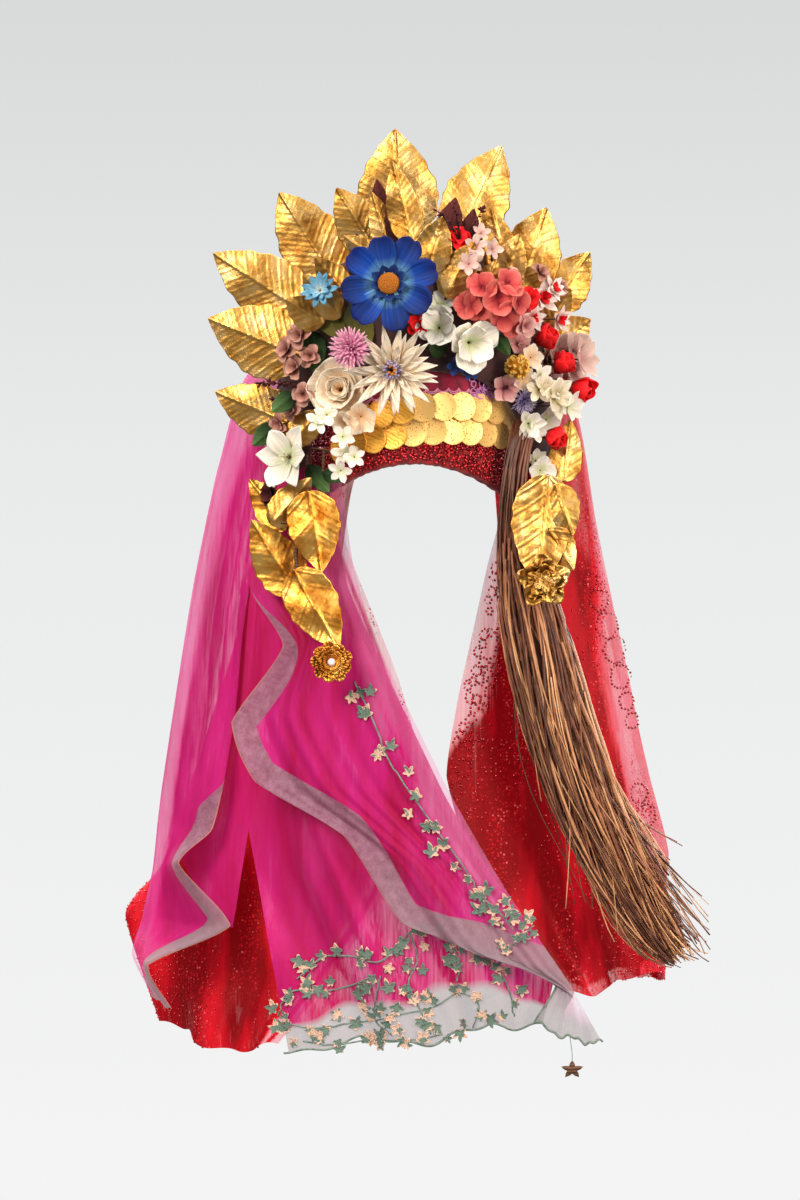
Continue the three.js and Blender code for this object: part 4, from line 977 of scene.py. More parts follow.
BLOOMS = {
    # node: form, radius, shift in x z and forward, tilt in x z, turn
    "blue_cosmos": [("cosmos", 47, (0, 0, 0), (0, 0.1), 0.2)],
    "sky_floret": [("aster", 18, (2, -2, 10), (0.1, 0.4), 0.0)],
    "white_freesia": [
        ("freesia", 30, (11, -7, 6), (0.2, -0.2), 0.4), ("freesia", 24, (-15, 6, 3), (-0.4, 0.2), 1.1),
        ("star", 20, (-14, 26, 0), (-0.1, 0.8), 0.2),
    ],
    "coral_florets": [
        ("floret", 18, (2, -2, 8), (0.0, 0.1), 0.3), ("floret", 16, (-11, 8, 4), (-0.4, 0.4), 1.0),
        ("floret", 16, (11, 11, 3), (0.4, 0.4), 0.6), ("floret", 16, (8, -17, 3), (0.2, -0.5), 0.1),
        ("floret", 15, (-14, -8, 1), (-0.5, -0.2), 0.8), ("floret", 14, (20, -4, 0), (0.6, 0.0), 0.2),
    ],
    "rosebud_upper": [("bud", 25, (-6, -4, 3), (1.1, 0.7), 0.0)],
    "rosebud_middle": [("bud", 25, (-3, -8, 3), (0.5, 1.3), 0.4)],
    "rosebud_right": [("bud", 26, (-7, 6, 2), (1.0, -0.7), 0.9)],
    "rosebud_low": [("bud", 24, (-5, 4, 3), (0.9, -0.6), 0.2)],
    "blush_bloom": [
        ("spray", 20, (2, 0, 4), (0.1, 0.2), 0.2), ("spray", 15, (12, 8, 0), (0.5, 0.4), 0.9),
    ],
    "pale_petals": [("poppy", 20, (0, 0, 0), (0.2, 0.3), 0.4)],
    "cream_bloom": [
        ("lily", 22, (0, 0, 0), (0.2, -0.1), 0.3), ("star", 14, (-8, 8, 3), (-0.2, 0.4), 0.3),
    ],
    "dusty_bloom": [("flat", 13, (0, 0, 0), (0.0, 0.2), 0.3)],
    "pink_bloom": [("flat", 15, (0, 0, 0), (-0.1, -0.1), 0.1)],
    "peach_rose": [("rose", 31, (0, 0, 0), (0.1, 0.05), 0.5)],
    "mauve_mum": [("mum", 20, (0, 0, 0), (0.0, 0.05), 0.0)],
    "cream_dahlia": [("dahlia", 43, (0, 0, 0), (0.05, -0.2), 0.15)],
    "blossom_upper": [("star", 13, (0, 0, 0), (0.1, 0.1), 0.1)],
    "blossom_lower": [("star", 14, (0, 0, 0), (0.1, -0.1), 0.4)],
    "white_lily": [("lily", 34, (0, 0, 0), (-0.1, 0.1), 0.55)],
    "dried_rose": [("crumple", 14, (0, 0, 0), (-0.2, 0.1), 0.2)],
    "blush_sprig": [
        ("star", 12, (0, 0, 0), (0.0, 0.2), 0.2), ("star", 11, (-3, -14, 4), (-0.2, -0.1), 0.5),
    ],
    "low_white_bloom": [("lily", 14, (0, 0, 0), (0.1, 0.2), 0.2)],
}
STAMEN_LENGTHS = {
    "pink_bloom": 5.5, "dusty_bloom": 5.5, "blossom_upper": 4.5, "blossom_lower": 5.0, "white_lily": 12.0,
    "cream_bloom": 8.0,
}
SILK_THICKNESS, STEM_RADIUS, THIN_STEM_RADIUS = 0.4, 1.3, 0.8


def flower_seat(x, z, out):
    place = np.array([x, crest_y(x) - CREST_HALF_THICKNESS - out, z])
    return place, crest_facing(np.float64(FLOWER_TURN * x))


def tilted(axis, tilt):
    return unit(axis + np.array([tilt[0], 0.0, tilt[1]]))


stems = Heap()
for number, (node, (x, z, out, anchor, dyes, slot)) in enumerate(FLOWERS.items()):
    rng = np.random.default_rng(200 + number)
    heap = Heap()
    place, axis = flower_seat(x, z, out)
    for form, radius, (right, up, front), tilt, turn in BLOOMS.get(node, []):
        bloom(heap, place + [right, -front, up], tilted(axis, tilt), form, radius, rng, turn=turn)
    if node == "yellow_ball":
        ball(heap, place + 9 * axis, axis, 10.5, rng)
    if node == "blue_cosmos":
        eye_disc(heap, place + 1.5 * axis, tilted(axis, (0, 0.1)), 9.5, 2)
    if node == "cream_dahlia":
        stamens(heap, place + 3 * axis, axis, 46, 13.0, 1.0, rng, 1, 1.1)
        stamens(heap, place + 3 * axis, axis, 18, 12.0, 0.5, rng, 2, 1.0)
    if node in STAMEN_LENGTHS:
        stamens(heap, place + axis, axis, 7, STAMEN_LENGTHS[node], 0.5, rng, 1, 0.8)
    heap.piece(node + "_silk", [SILK[dye] for dye in dyes], [node], slot, SILK_THICKNESS)
    seat = np.array([anchor[0], crest_y(anchor[0]), anchor[1]])
    stems.wire([seat, (seat + place) / 2 + [0, 0, 1.0], place], 9, STEM_RADIUS, 6)

# %% [markdown]
# ## Filling between the flowers
# Smaller blossoms, dried petals, sprigs and green leaves fill the gaps, as in any hand-tied crest. They
# are too small to be solids of their own, so each kind is one joined piece, and each has a thin stem into
# the crest.

# %% Filler blossoms
FILLERS = [
    # dyes, form, then each blossom: radius, x, z, out from the crest's face, tilt in x z
    (("white", "cream"), "star", [
        (13, -78, 53, 38, (0.1, 0.3)), (12, -64, 34, 30, (0.2, 0.0)), (12, -66, 4, 24, (0.1, -0.3)),
        (11, -54, 16, 18, (0.4, 0.1)),
    ]),
    (("peach", "peach"), "flat", [(18, -48, 52, 10, (0.2, -0.4)), (16, -62, 48, 18, (0.0, -0.5))]),
    (("dried", "maroon"), "crumple", [
        (14, -106, 96, 34, (-0.3, 0.2)), (13, -114, 112, 36, (-0.2, 0.2)), (12, -99, 72, 36, (0.2, -0.2)),
        (12, -110, 60, 32, (-0.2, -0.2)), (11, -121, 46, 28, (-0.3, -0.3)), (12, -93, 106, 24, (0.2, 0.1)),
    ]),
    (("maroon", "dried"), "crumple", [(14, -128, -17, 34, (-0.3, 0.0))]),
    (("dried", "maroon"), "crumple", [(11, -117, -30, 40, (0.1, -0.3))]),
    (("pale", "blush"), "star", [
        (12, 47, 186, 26, (-0.2, 0.2)), (11, 68, 200, 22, (0.3, 0.2)), (10, 58, 214, 16, (0.0, 0.5)),
    ]),
    (("coral", "red"), "floret", [(15, 46, 150, 26, (-0.4, 0.0)), (15, 84, 136, 20, (0.2, -0.4))]),
    (("coral", "red"), "crumple", [(12, 58, 140, 24, (-0.2, -0.2))]),
    (("dried", "pink"), "crumple", [
        (10, 86, 176, 30, (0.1, 0.5)), (10, 112, 181, 16, (0.2, 0.6)), (10, 131, 168, 6, (0.5, 0.3)),
    ]),
    (("red", "red"), "crumple", [(12, 101, 157, 32, (0.1, 0.0)), (12, 38, 209, 8, (0.0, 0.4))]),
    (("blush", "red"), "spray", [(16, 128, 140, 16, (0.4, -0.2)), (14, 104, 140, 26, (0.1, -0.2))]),
    (("pink", "dried"), "crumple", [(12, 97, 133, 28, (0.0, -0.1))]),
    (("pale", "blush"), "lily", [(24, 148, 104, 4, (0.6, 0.2))]),
    (("peach", "amber"), "flat", [(14, 103, 105, 20, (0.1, 0.1)), (13, 96, 86, 16, (0.0, -0.3))]),
    (("white", "cream"), "star", [(14, 112, 88, 26, (0.1, 0.3))]),
    (("white", "cream"), "lily", [(17, 101, 46, 20, (-0.2, -0.3)), (17, 138, 62, 24, (0.5, -0.2))]),
    (("cream", "white"), "star", [(14, 110, 76, 32, (-0.1, 0.0))]),
    (("white", "cream"), "poppy", [(16, 112, 4, 22, (0.0, -0.2))]),
    (("pale", "blush"), "poppy", [(20, 128, 112, -6, (0.4, 0.1))]),
    (("blush", "white"), "poppy", [(18, 134, 86, -4, (0.5, -0.1))]),
    (("dried", "pink"), "crumple", [(14, 118, 104, 2, (0.3, 0.0))]),
    (("white", "cream"), "poppy", [(16, 118, 50, 12, (0.3, -0.3))]),
    (("coral", "pink"), "floret", [(15, 98, 150, 18, (0.3, 0.1))]),
    (("pale", "blush"), "poppy", [(17, 142, 92, -8, (0.6, 0.0))]),
    (("blush", "pale"), "poppy", [(16, 124, 96, -10, (0.3, 0.0))]),
    (("white", "cream"), "star", [(12, 108, 40, 24, (0.0, -0.2))]),
    (("navy", "blue"), "star", [(10, 36, 97, 14, (0.1, -0.3)), (9, 48, 92, 14, (0.2, -0.4))]),
    (("lilac", "lilac"), "mum", [(13, 97, 66, 16, (0.0, -0.3))]),
    (("red", "maroon"), "crumple", [(11, 2, 132, 6, (0.0, 0.0))]),
]
STEM_REACH, STEM_HEIGHTS = 110, (18, 186)
fillers = Heap()
used = sorted({dye for row in FILLERS for dye in row[0]})
rng = np.random.default_rng(300)
for dyes, form, blossoms in FILLERS:
    slots = [used.index(dye) for dye in dyes]
    for radius, x, z, out, tilt in blossoms:
        place, axis = flower_seat(x, z, out)
        bloom(fillers, place, tilted(axis, tilt), form, radius, rng, slots, rng.uniform(0, 6))
        anchor = np.array([np.clip(x, -STEM_REACH, STEM_REACH), 0.0, np.clip(z, *STEM_HEIGHTS)])
        anchor[1] = crest_y(anchor[0])
        stems.wire([anchor, (anchor + place) / 2, place], 7, THIN_STEM_RADIUS, 5)
fillers.piece("filler_blossoms", [SILK[dye] for dye in used], slot="petal_white")

# %% Green leaves and sprigs
LEAVES = [
    # dye, tip x z, base x z, width, depth from the crest, lean
    ("olive", (-40, 112), (-56, 152), 24, -14, -8),
    ("green", (-88, 90), (-92, 128), 22, -24, -4),
    ("green", (12, 118), (26, 106), 15, -14, -4),
    ("green", (-128, 56), (-108, 72), 17, -44, -6),
    ("green", (-146, 26), (-126, 44), 18, -22, -4),
    ("green", (-76, -16), (-96, 8), 17, -24, -14),
    ("green", (-62, -4), (-82, 2), 13, -22, -16),
    ("green", (84, 106), (72, 124), 13, -14, -4),
    ("maroon", (-34, 262), (-25, 200), 24, 2, 2),
    ("maroon", (-24, 250), (-10, 200), 20, -2, 2),
    ("maroon", (36, 246), (24, 196), 26, 0, 2),
    ("maroon", (52, 236), (44, 196), 20, -4, 2),
    ("maroon", (-52, 214), (-46, 170), 22, -4, 0),
    ("green", (104, 60), (98, 84), 14, -20, -4),
]
dyes = ["olive", "green", "maroon"]
greens = Heap()
rng = np.random.default_rng(310)
for dye, tip, base, width, depth, lean in LEAVES:
    anchor = np.clip(base[0], -108, 108), max(base[1], 20)
    crest_leaf(greens, tip, base, depth, lean, anchor, width, rng, veins=5, crinkle=0.25,
               slot=dyes.index(dye), wire=len(dyes), bow=0.05)
greens.piece("green_leaves", [SILK[dye] for dye in dyes] + [BROWN_TAPE], slot="leaf_olive",
             thickness=SILK_THICKNESS)

olive = Heap()
crest_leaf(olive, (-66, 120), (-84, 158), -12, -20, (-88, 152), 28, rng, veins=5, crinkle=0.2, bow=0.04)
olive.piece("olive_leaf_silk", [SILK["olive"], BROWN_TAPE], ["olive_leaf"], "leaf_olive", SILK_THICKNESS)

SPRIGS = [
    # start x z, end x z, out at the start and the end, grains
    ((-88, 74), (-140, 82), 26, 36, 46),
    ((-88, 74), (-128, 66), 26, 34, 26),
    ((40, 206), (34, 240), 8, 14, 20),
    ((46, 204), (60, 236), 8, 14, 18),
    ((40, 206), (20, 232), 8, 14, 16),
]
sprigs = Heap()
for start, end, near, far, grains in SPRIGS:
    ends = [flower_seat(*start, near)[0], flower_seat(*end, far)[0]]
    line = smooth_line([ends[0], sum(ends) / 2 + [0, -4, 3], ends[1]], np.linspace(0, 1, 20))
    sprigs.tube(line, np.linspace(1.0, 0.4, 20), 5)
    at = rng.integers(4, 20, grains)
    aims = unit(rng.normal(0, 1, (grains, 3)) + 1.4 * unit(ends[1] - ends[0]))
    for base, aim in zip(line[at], aims):
        grain = np.array([0, 0.4, 0.7, 1.0]) * rng.uniform(3, 6.5)
        sprigs.tube(base + np.outer(grain, aim), [0.35, 0.9, 1.0, 0.25], 5, tone=rng.uniform())
sprigs.piece("dark_sprigs", [SILK["maroon"]], slot="stem_wire")
stems.piece("flower_stems", [BROWN_TAPE], slot="stem_wire")

# %% [markdown]
# ## Pendants
# At each temple hangs a wire with foil leaves. The left one ends in a pleated foil rosette with a pearl,
# and the right one in a crumpled foil rosette. The leaves are made as the crown's are, with more creases.

# %% Pendant leaves and wires
PENDANT_WIRES = {
    "left": [(-106, -57, 14), (-106, -72, 11), (-105, -79, -6), (-101, -97, -40), (-105, -100, -83),
             (-76, -112, -162)],
    "right": [(119, -40, 12), (122, -58, 0), (120, -100, -14), (119, -112, -40), (122, -121, -90)],
}
PENDANT_WIRE_RADIUS = 1.7
PENDANT_LEAVES = [
    # node, tip, base, width, seat on the wire
    ("left_pendant_upper_leaf", (-83, -110, -86), (-95, -106, -14), 46, (-102, -93, -32)),
    ("left_pendant_side_leaf", (-146, -88, -40), (-106, -92, -106), 43, (-99, -103, -104)),
    ("left_pendant_lower_leaf", (-68, -124, -154), (-108, -111, -84), 45, (-105, -100, -84)),
    ("left_pendant_back_leaf", (-148, -70, -4), (-114, -88, -48), 32, (-101, -98, -46)),
    ("right_pendant_upper_leaf", (107, -135, -98), (117, -121, 0), 54, (120, -104, -18)),
    ("right_pendant_back_leaf", (140, -58, 50), (132, -70, -6), 30, (122, -72, -6)),
]
for side, route in PENDANT_WIRES.items():
    wire = Heap()
    wire.wire(route, 60, PENDANT_WIRE_RADIUS, 8)
    node = side + "_pendant_wire"
    wire.piece(node + "_tape", [BROWN_TAPE], [node], "stem_wire")
for number, (node, tip, base, width, seat) in enumerate(PENDANT_LEAVES):
    heap = Heap()
    foil = GOLD_FOIL if node.startswith("right") else AMBER_FOIL
    pressed_leaf(heap, seat, base, tip, width, np.random.default_rng(400 + number), veins=6, crinkle=1.5)
    heap.piece(node + "_foil", [foil, BROWN_TAPE], [node], "amber_foil", FOIL_THICKNESS)

extra = Heap()
rng = np.random.default_rng(410)
for tip, base, width, seat in [
    ((139, -128, -54), (124, -122, -8), 30, (120, -104, -18)),
    ((140, -126, -84), (118, -128, -48), 30, (119, -112, -40)),
    ((-92, -104, -2), (-128, -92, -44), 30, (-103, -97, -40)),
]:
    pressed_leaf(extra, seat, base, tip, width, rng, veins=5, crinkle=1.4)
extra.piece("small_pendant_leaves", [GOLD_FOIL, BROWN_TAPE], slot="amber_foil", thickness=FOIL_THICKNESS)

# %% Rosettes
def pearl_with_painted_lustre():
    """Pearlised plastic bead, glossy under a clear coat, with a painted lustre: cream where it faces the
    eye and dusky pink towards its rim.
    """
    look = Finish("pink_pearl")
    # Colour by how the bead faces the eye: painted lustre, darker pink towards the rim.
    facing = look.node("LayerWeight", {"Blend": 0.4}, "Facing")
    shade = look.ramp(facing, (0.0, "#F6E6E4"), (1.0, "#D8A8B0"))
    return look.done(look.surface(shade, 0.2, others={"Coat Weight": 0.6}))


ROSETTE_RINGS = [
    # share of the radius, rise, turn
    (1.0, 1.0, 0.0), (0.82, 3.5, 0.5), (0.62, 6.0, 0.2), (0.42, 8.0, 0.6),
]
PEARL_RADIUS, PEARL_RISE = 3.4, 9.5


def foil_rosette(node, place, radius, petals, crumple, seed):
    """Rings of pleated foil, one above the other. The one that isn't crumpled much holds a pearl."""
    heap = Heap()
    rng = np.random.default_rng(seed)
    place = np.array(place, float)
    basis = frames_along([0, -1, 0])[0]
    for ring, (share, rise, start) in enumerate(ROSETTE_RINGS):
        angle = np.linspace(0, 2 * math.pi, 16 * petals, endpoint=False)[None]
        t = np.linspace(0.06, 1, 10)[:, None]
        scallop = 1 - 0.16 * t ** 2 * (1 - np.abs(np.sin(petals / 2 * (angle + start)))) ** 1.5
        out = radius * share * t * scallop * (1 + 0.10 * crumple * np.sin(5 * angle + 3 * start))
        pleat = 0.9 * t * np.sin(4 * petals * angle + 2 * ring)
        x, y = out * np.cos(angle), out * np.sin(angle)
        up = rise + 0.22 * out * t + pleat + crumple * 10 * creases(x, y, rng, 8, 5.0, 16.0)
        local = np.stack([x, y, up + 0 * x], -1)
        heap.grid(place + local @ basis, wrap=True, along=t + 0 * angle, tone=rng.uniform())
    if crumple < 1:
        bead = [(PEARL_RADIUS * math.sin(a), PEARL_RISE - PEARL_RADIUS * math.cos(a))
                for a in np.linspace(0.2, 2.9, 10)]
        heap.scatter(*turned(bead, 18), place[None], frames_along([0, -1, 0]), slot=1)
    foil = GOLD_FOIL if crumple > 1 else AMBER_FOIL
    heap.piece(node + "_foil", [foil, pearl_with_painted_lustre()], [node], "amber_foil", FOIL_THICKNESS)


foil_rosette("left_pendant_rosette", (-74, -127, -165), 18.5, 9, 0.35, 420)
foil_rosette("right_pendant_rosette", (113, -141, -93), 22.0, 5, 1.5, 421)

# %% [markdown]
# ## Twig bundle
# A bundle of thin dry twigs hangs at the right temple, twisted tight at its head and fanned out below.
# The solid gives its outer form. Here each twig is its own tapered tube that keeps one place in the
# bundle's section, wanders a little, and ends at its own length. Some stray out of the bundle.

# %% Bark
def dry_bark():
    """Dry twig bark: brown with a dull shine, darker towards the bundle's head than at its tips."""
    look = Finish("dry_twig_bark")
    worn = look.maths("MULTIPLY_ADD", look.noise(9.0, 4.0), 0.4, -0.2)
    # The bark is drawn darker higher up, towards the bundle's head.
    darker_towards_head = look.span(look.height(), -0.04, -0.16, 0.2, 0.8)
    tone_by_height = look.maths("MULTIPLY_ADD", look.value("tone"), darker_towards_head, worn)
    shade = look.ramp(tone_by_height, (0.0, "#482414"), (0.2, "#7A4630"), (0.5, "#AE7450"), (0.8, "#E0AC7A"))
    return look.done(look.surface(shade, 0.45, look.bump(look.noise(0.8), 0.4, 0.2)))


# %% Twigs
BUNDLE = np.array([
    # x, y, z, half width, half depth
    (98, -77, 46, 9, 7), (89, -90, 4, 11, 9), (87, -96, -56, 14, 11), (97, -100, -105, 25, 15),
    (111, -104, -160, 31, 18), (127, -108, -220, 32, 20), (147, -111, -280, 32, 20),
    (172, -113, -335, 31, 18), (197, -112, -382, 27, 14), (222, -110, -418, 20, 9),
    (236, -108, -434, 9, 5),
], float)
TWIG_TWIST, TWIG_STEPS, TWIG_REACH = 1.3, 20, 262.0
TWIG_KINDS = [
    # count, earliest start, earliest and latest end, how far the tip strays sideways and back, thickness
    (230, 0.32, 0.80, 1.0, 8.0, 4.0, 1.0),
    (90, 0.45, 0.72, 1.0, 34.0, 8.0, 0.9),
    (46, 0.5, 0.68, 0.92, 64.0, 10.0, 0.65),
    (44, 0.34, 0.60, 0.90, -46.0, -6.0, 0.6),
]


def bundle_point(share, right, back):
    """A place in the bundle: a share of its length, and shares of its half width and half depth."""
    row = smooth_line(BUNDLE, share)
    middle, half_width, half_depth = row[:, :3], row[:, 3:4], row[:, 4:5]
    forward = unit(np.gradient(middle, axis=0))
    backward = unit(np.array([0, 1.0, 0]) - forward * forward[:, 1:2])
    sideways = np.cross(backward, forward)
    turn = TWIG_TWIST * np.asarray(share)
    c, s = np.cos(turn), np.sin(turn)
    across, deep = (right * c - back * s)[:, None], (right * s + back * c)[:, None]
    return middle + sideways * half_width * across + backward * half_depth * deep


twigs = Heap()
rng = np.random.default_rng(500)
for count, start, soonest, latest, aside, behind, stout in TWIG_KINDS:
    for _ in range(count):
        reach, turn = np.sqrt(rng.uniform(0.02, 0.96, 2)), rng.uniform(0, 2 * math.pi)
        turns = np.array([turn, turn + rng.normal(0, 1.2)])
        first = 0.0 if rng.uniform() < 0.2 else rng.uniform(0.2, start)
        share = np.linspace(first, rng.uniform(soonest, latest), TWIG_STEPS)
        ends = reach * np.array([np.cos(turns), np.sin(turns)])
        bends = rng.normal(0, 0.17, (2, 2)) @ np.sin(np.outer([5, 12], share) + rng.uniform(0, 6, (2, 1)))
        course = np.outer(ends[:, 1] - ends[:, 0], np.linspace(0, 1, TWIG_STEPS))
        right, back = ends[:, :1] + course + bends
        wide = np.maximum(np.hypot(right, back), 1)
        path = bundle_point(share, right / wide, back / wide)
        loose = np.linspace(0, 1, TWIG_STEPS) ** 2.6
        path = path + np.outer(loose, [aside * rng.uniform(-0.3, 1), behind * rng.uniform(-0.5, 1), 0])
        path = path - np.outer(loose, [max(path[-1, 0] - TWIG_REACH, 0), 0, 0])
        path = path + rng.normal(0, 0.2, path.shape)
        thick = stout * rng.uniform(0.8, 1.7) * np.interp(share, [0, 0.3, 1], [1.2, 1.0, 0.45])
        twigs.tube(path, thick, 5, tone=rng.choice([rng.uniform(0.0, 0.4), rng.uniform(0.6, 1.0)]))
twigs.piece("twig_bundle_bark", [dry_bark()], ["twig_bundle"], "twig")

# %% [markdown]
# ## Veils
# Three panels of magenta organza hang at the left and two of red tulle at both sides. Each is cut with
# more cloth than its width, so it falls in folds that open downward. A cloth simulation would lose the
# worn fall that the picture shows, so the sheets follow the same net of hanging threads as the solids,
# apart from the under panel's outer border, with finer folds on top. One sheet is one layer. Light that
# passes through several layers deepens the colour, and a single layer lets the background show. The
# colour is also painted: deeper where a sheet's cover is high, and in patches of painted fold shade and
# highlight.

# %% Sheer finishes
THREAD_MM, THREAD_LINE_MM = 0.8, 2.2
FADED_SILVER = linear("#AEA4AA")


def edge_band(look, value, shade, solid, band):
    """Adds a woven band along an edge: its own colour with soft patches of painted sheen, paler low down,
    and a cord at both sides.
    """
    width, soft, fill, dark, light, cord = band
    inside = look.span(value, width - soft, width + soft, 1.0, 0.0)
    # Soft patches between the band's dark and light colour: painted sheen.
    ribbon_tint_with_painted_sheen = look.ramp(look.noise(9.0, 8.0, 0.85), (0.28, dark), (0.72, light))
    faded = look.span(look.height(), -0.33, -0.43, 0.0, 0.6)
    ribbon_tint_with_painted_sheen = look.mix(faded, ribbon_tint_with_painted_sheen, FADED_SILVER)
    edge = look.span(look.maths("PINGPONG", value, width), 0.8, 1.8, 1.0, 0.0)
    shade = look.mix(inside, shade, look.mix(edge, ribbon_tint_with_painted_sheen, linear(cord)))
    gap = look.maths("SUBTRACT", look.maths("MAXIMUM", edge, fill), solid)
    return shade, look.maths("MULTIPLY_ADD", inside, gap, solid)


def sheer_cloth(name, thin, middle, deep, ribbon=None, gauze=None, sequin_mm=None,
                painted_fold_light_and_shade=(-0.26, 0.14), sheen=0.15):
    """Organza or tulle: fine open weave that hides part of what is behind it and glows when lit from
    behind. The point values say how far the edge with a ribbon and the hem are in millimetres, and how
    much the layer hides where its folds lie together."""
    look = Finish(name)
    border, hem, cover = (look.value(value) for value in VALUES)
    streaks = look.noise(14.0, 6.0, place=look.stretched(0.08))
    threads = look.noise(THREAD_LINE_MM, place=look.stretched(0.02))
    woven = look.maths("ADD", look.span(streaks, first=-0.13, last=0.13),
                       look.span(threads, 0.3, 0.7, -0.07, 0.07))
    solid = look.maths("ADD", cover, woven, use_clamp=True)
    hung = look.stretched(0.2)
    # Broad patches, drawn out downward, push the colour towards the thin or the deep end of the dye:
    # painted fold light and shade, so the thin colour serves also as painted highlight and the deep one as
    # painted shade.
    depth = look.span(look.noise(40.0, 3.0, place=hung), 0.3, 0.7, *painted_fold_light_and_shade)
    shade = look.ramp(look.maths("ADD", solid, depth), (0.3, thin), (0.72, middle), (1.0, deep))
    for value, band in ((border, ribbon), (hem, gauze)):
        if band:
            shade, solid = edge_band(look, value, shade, solid, band)
    cell_mm = sequin_mm or THREAD_MM
    weave = look.cells(cell_mm)
    if sequin_mm:
        sewn = look.span(look.noise(26.0, 3.0, place=hung), 0.40, 0.60)
        sequins = look.maths("MULTIPLY", sewn, look.span(weave, 0.32, 0.46, 1.0, 0.0))
        # Each sequin cell gets a red of its own at random, from dark to pale pink: painted glints and
        # painted shade of the tilted sequins.
        painted_glint = look.node("SeparateColor", {"Color": look.cells(cell_mm, "Color")}, "Red")
        film = look.ramp(painted_glint, (0.0, "#960A16"), (0.5, "#C21220"), (0.9, "#E4202C"), (0.985, "#F87474"))
        shade = look.mix(sequins, shade, film)
        solid = look.maths("MAXIMUM", solid, sequins)
    relief = look.bump(look.maths("MULTIPLY_ADD", weave, 0.15, streaks), 0.5, 2.0)
    cloth = look.surface(shade, 0.5, relief, {
        "Specular IOR Level": 0.15, "Sheen Weight": sheen, "Sheen Roughness": 0.4})
    lit = look.lit_through(0.35, cloth, shade)
    return look.done(look.blend(solid, look.node("BsdfTransparent"), lit))


# Each band: width, softness, cover, dark and light colour, cord
RIBBON = (23.0, 0.6, 0.82, "#7A4A62", "#C29CB4", "#C08C7C")
GAUZE = (40.0, 5.0, 0.62, "#857C80", "#B4AAAC", "#5E7068")
PALE_TIP = (24.0, 10.0, 0.66, "#8C8A8E", "#B8B2B4", "#5E7068")
# Thin, middle and deep colour of each cloth: the thin one is also its painted highlight, the deep one its
# painted shade.
RIBBON_ORGANZA = sheer_cloth("magenta_organza_with_ribbon", "#EC88C8", "#D2228A", "#B40E50",
                             RIBBON, PALE_TIP)
OUTER_ORGANZA = sheer_cloth("magenta_organza_outer", "#EE64B8", "#DC248E", "#B8146A", RIBBON)
GAUZE_ORGANZA = sheer_cloth("magenta_organza_with_gauze_hem", "#EE74C0", "#DA2688", "#C21460",
                            gauze=GAUZE)
RED_TULLE = sheer_cloth("red_sequinned_tulle", "#FC5A7E", "#E8142A", "#920410", sequin_mm=2.5,
                        painted_fold_light_and_shade=(-0.34, 0.26), sheen=0.03)

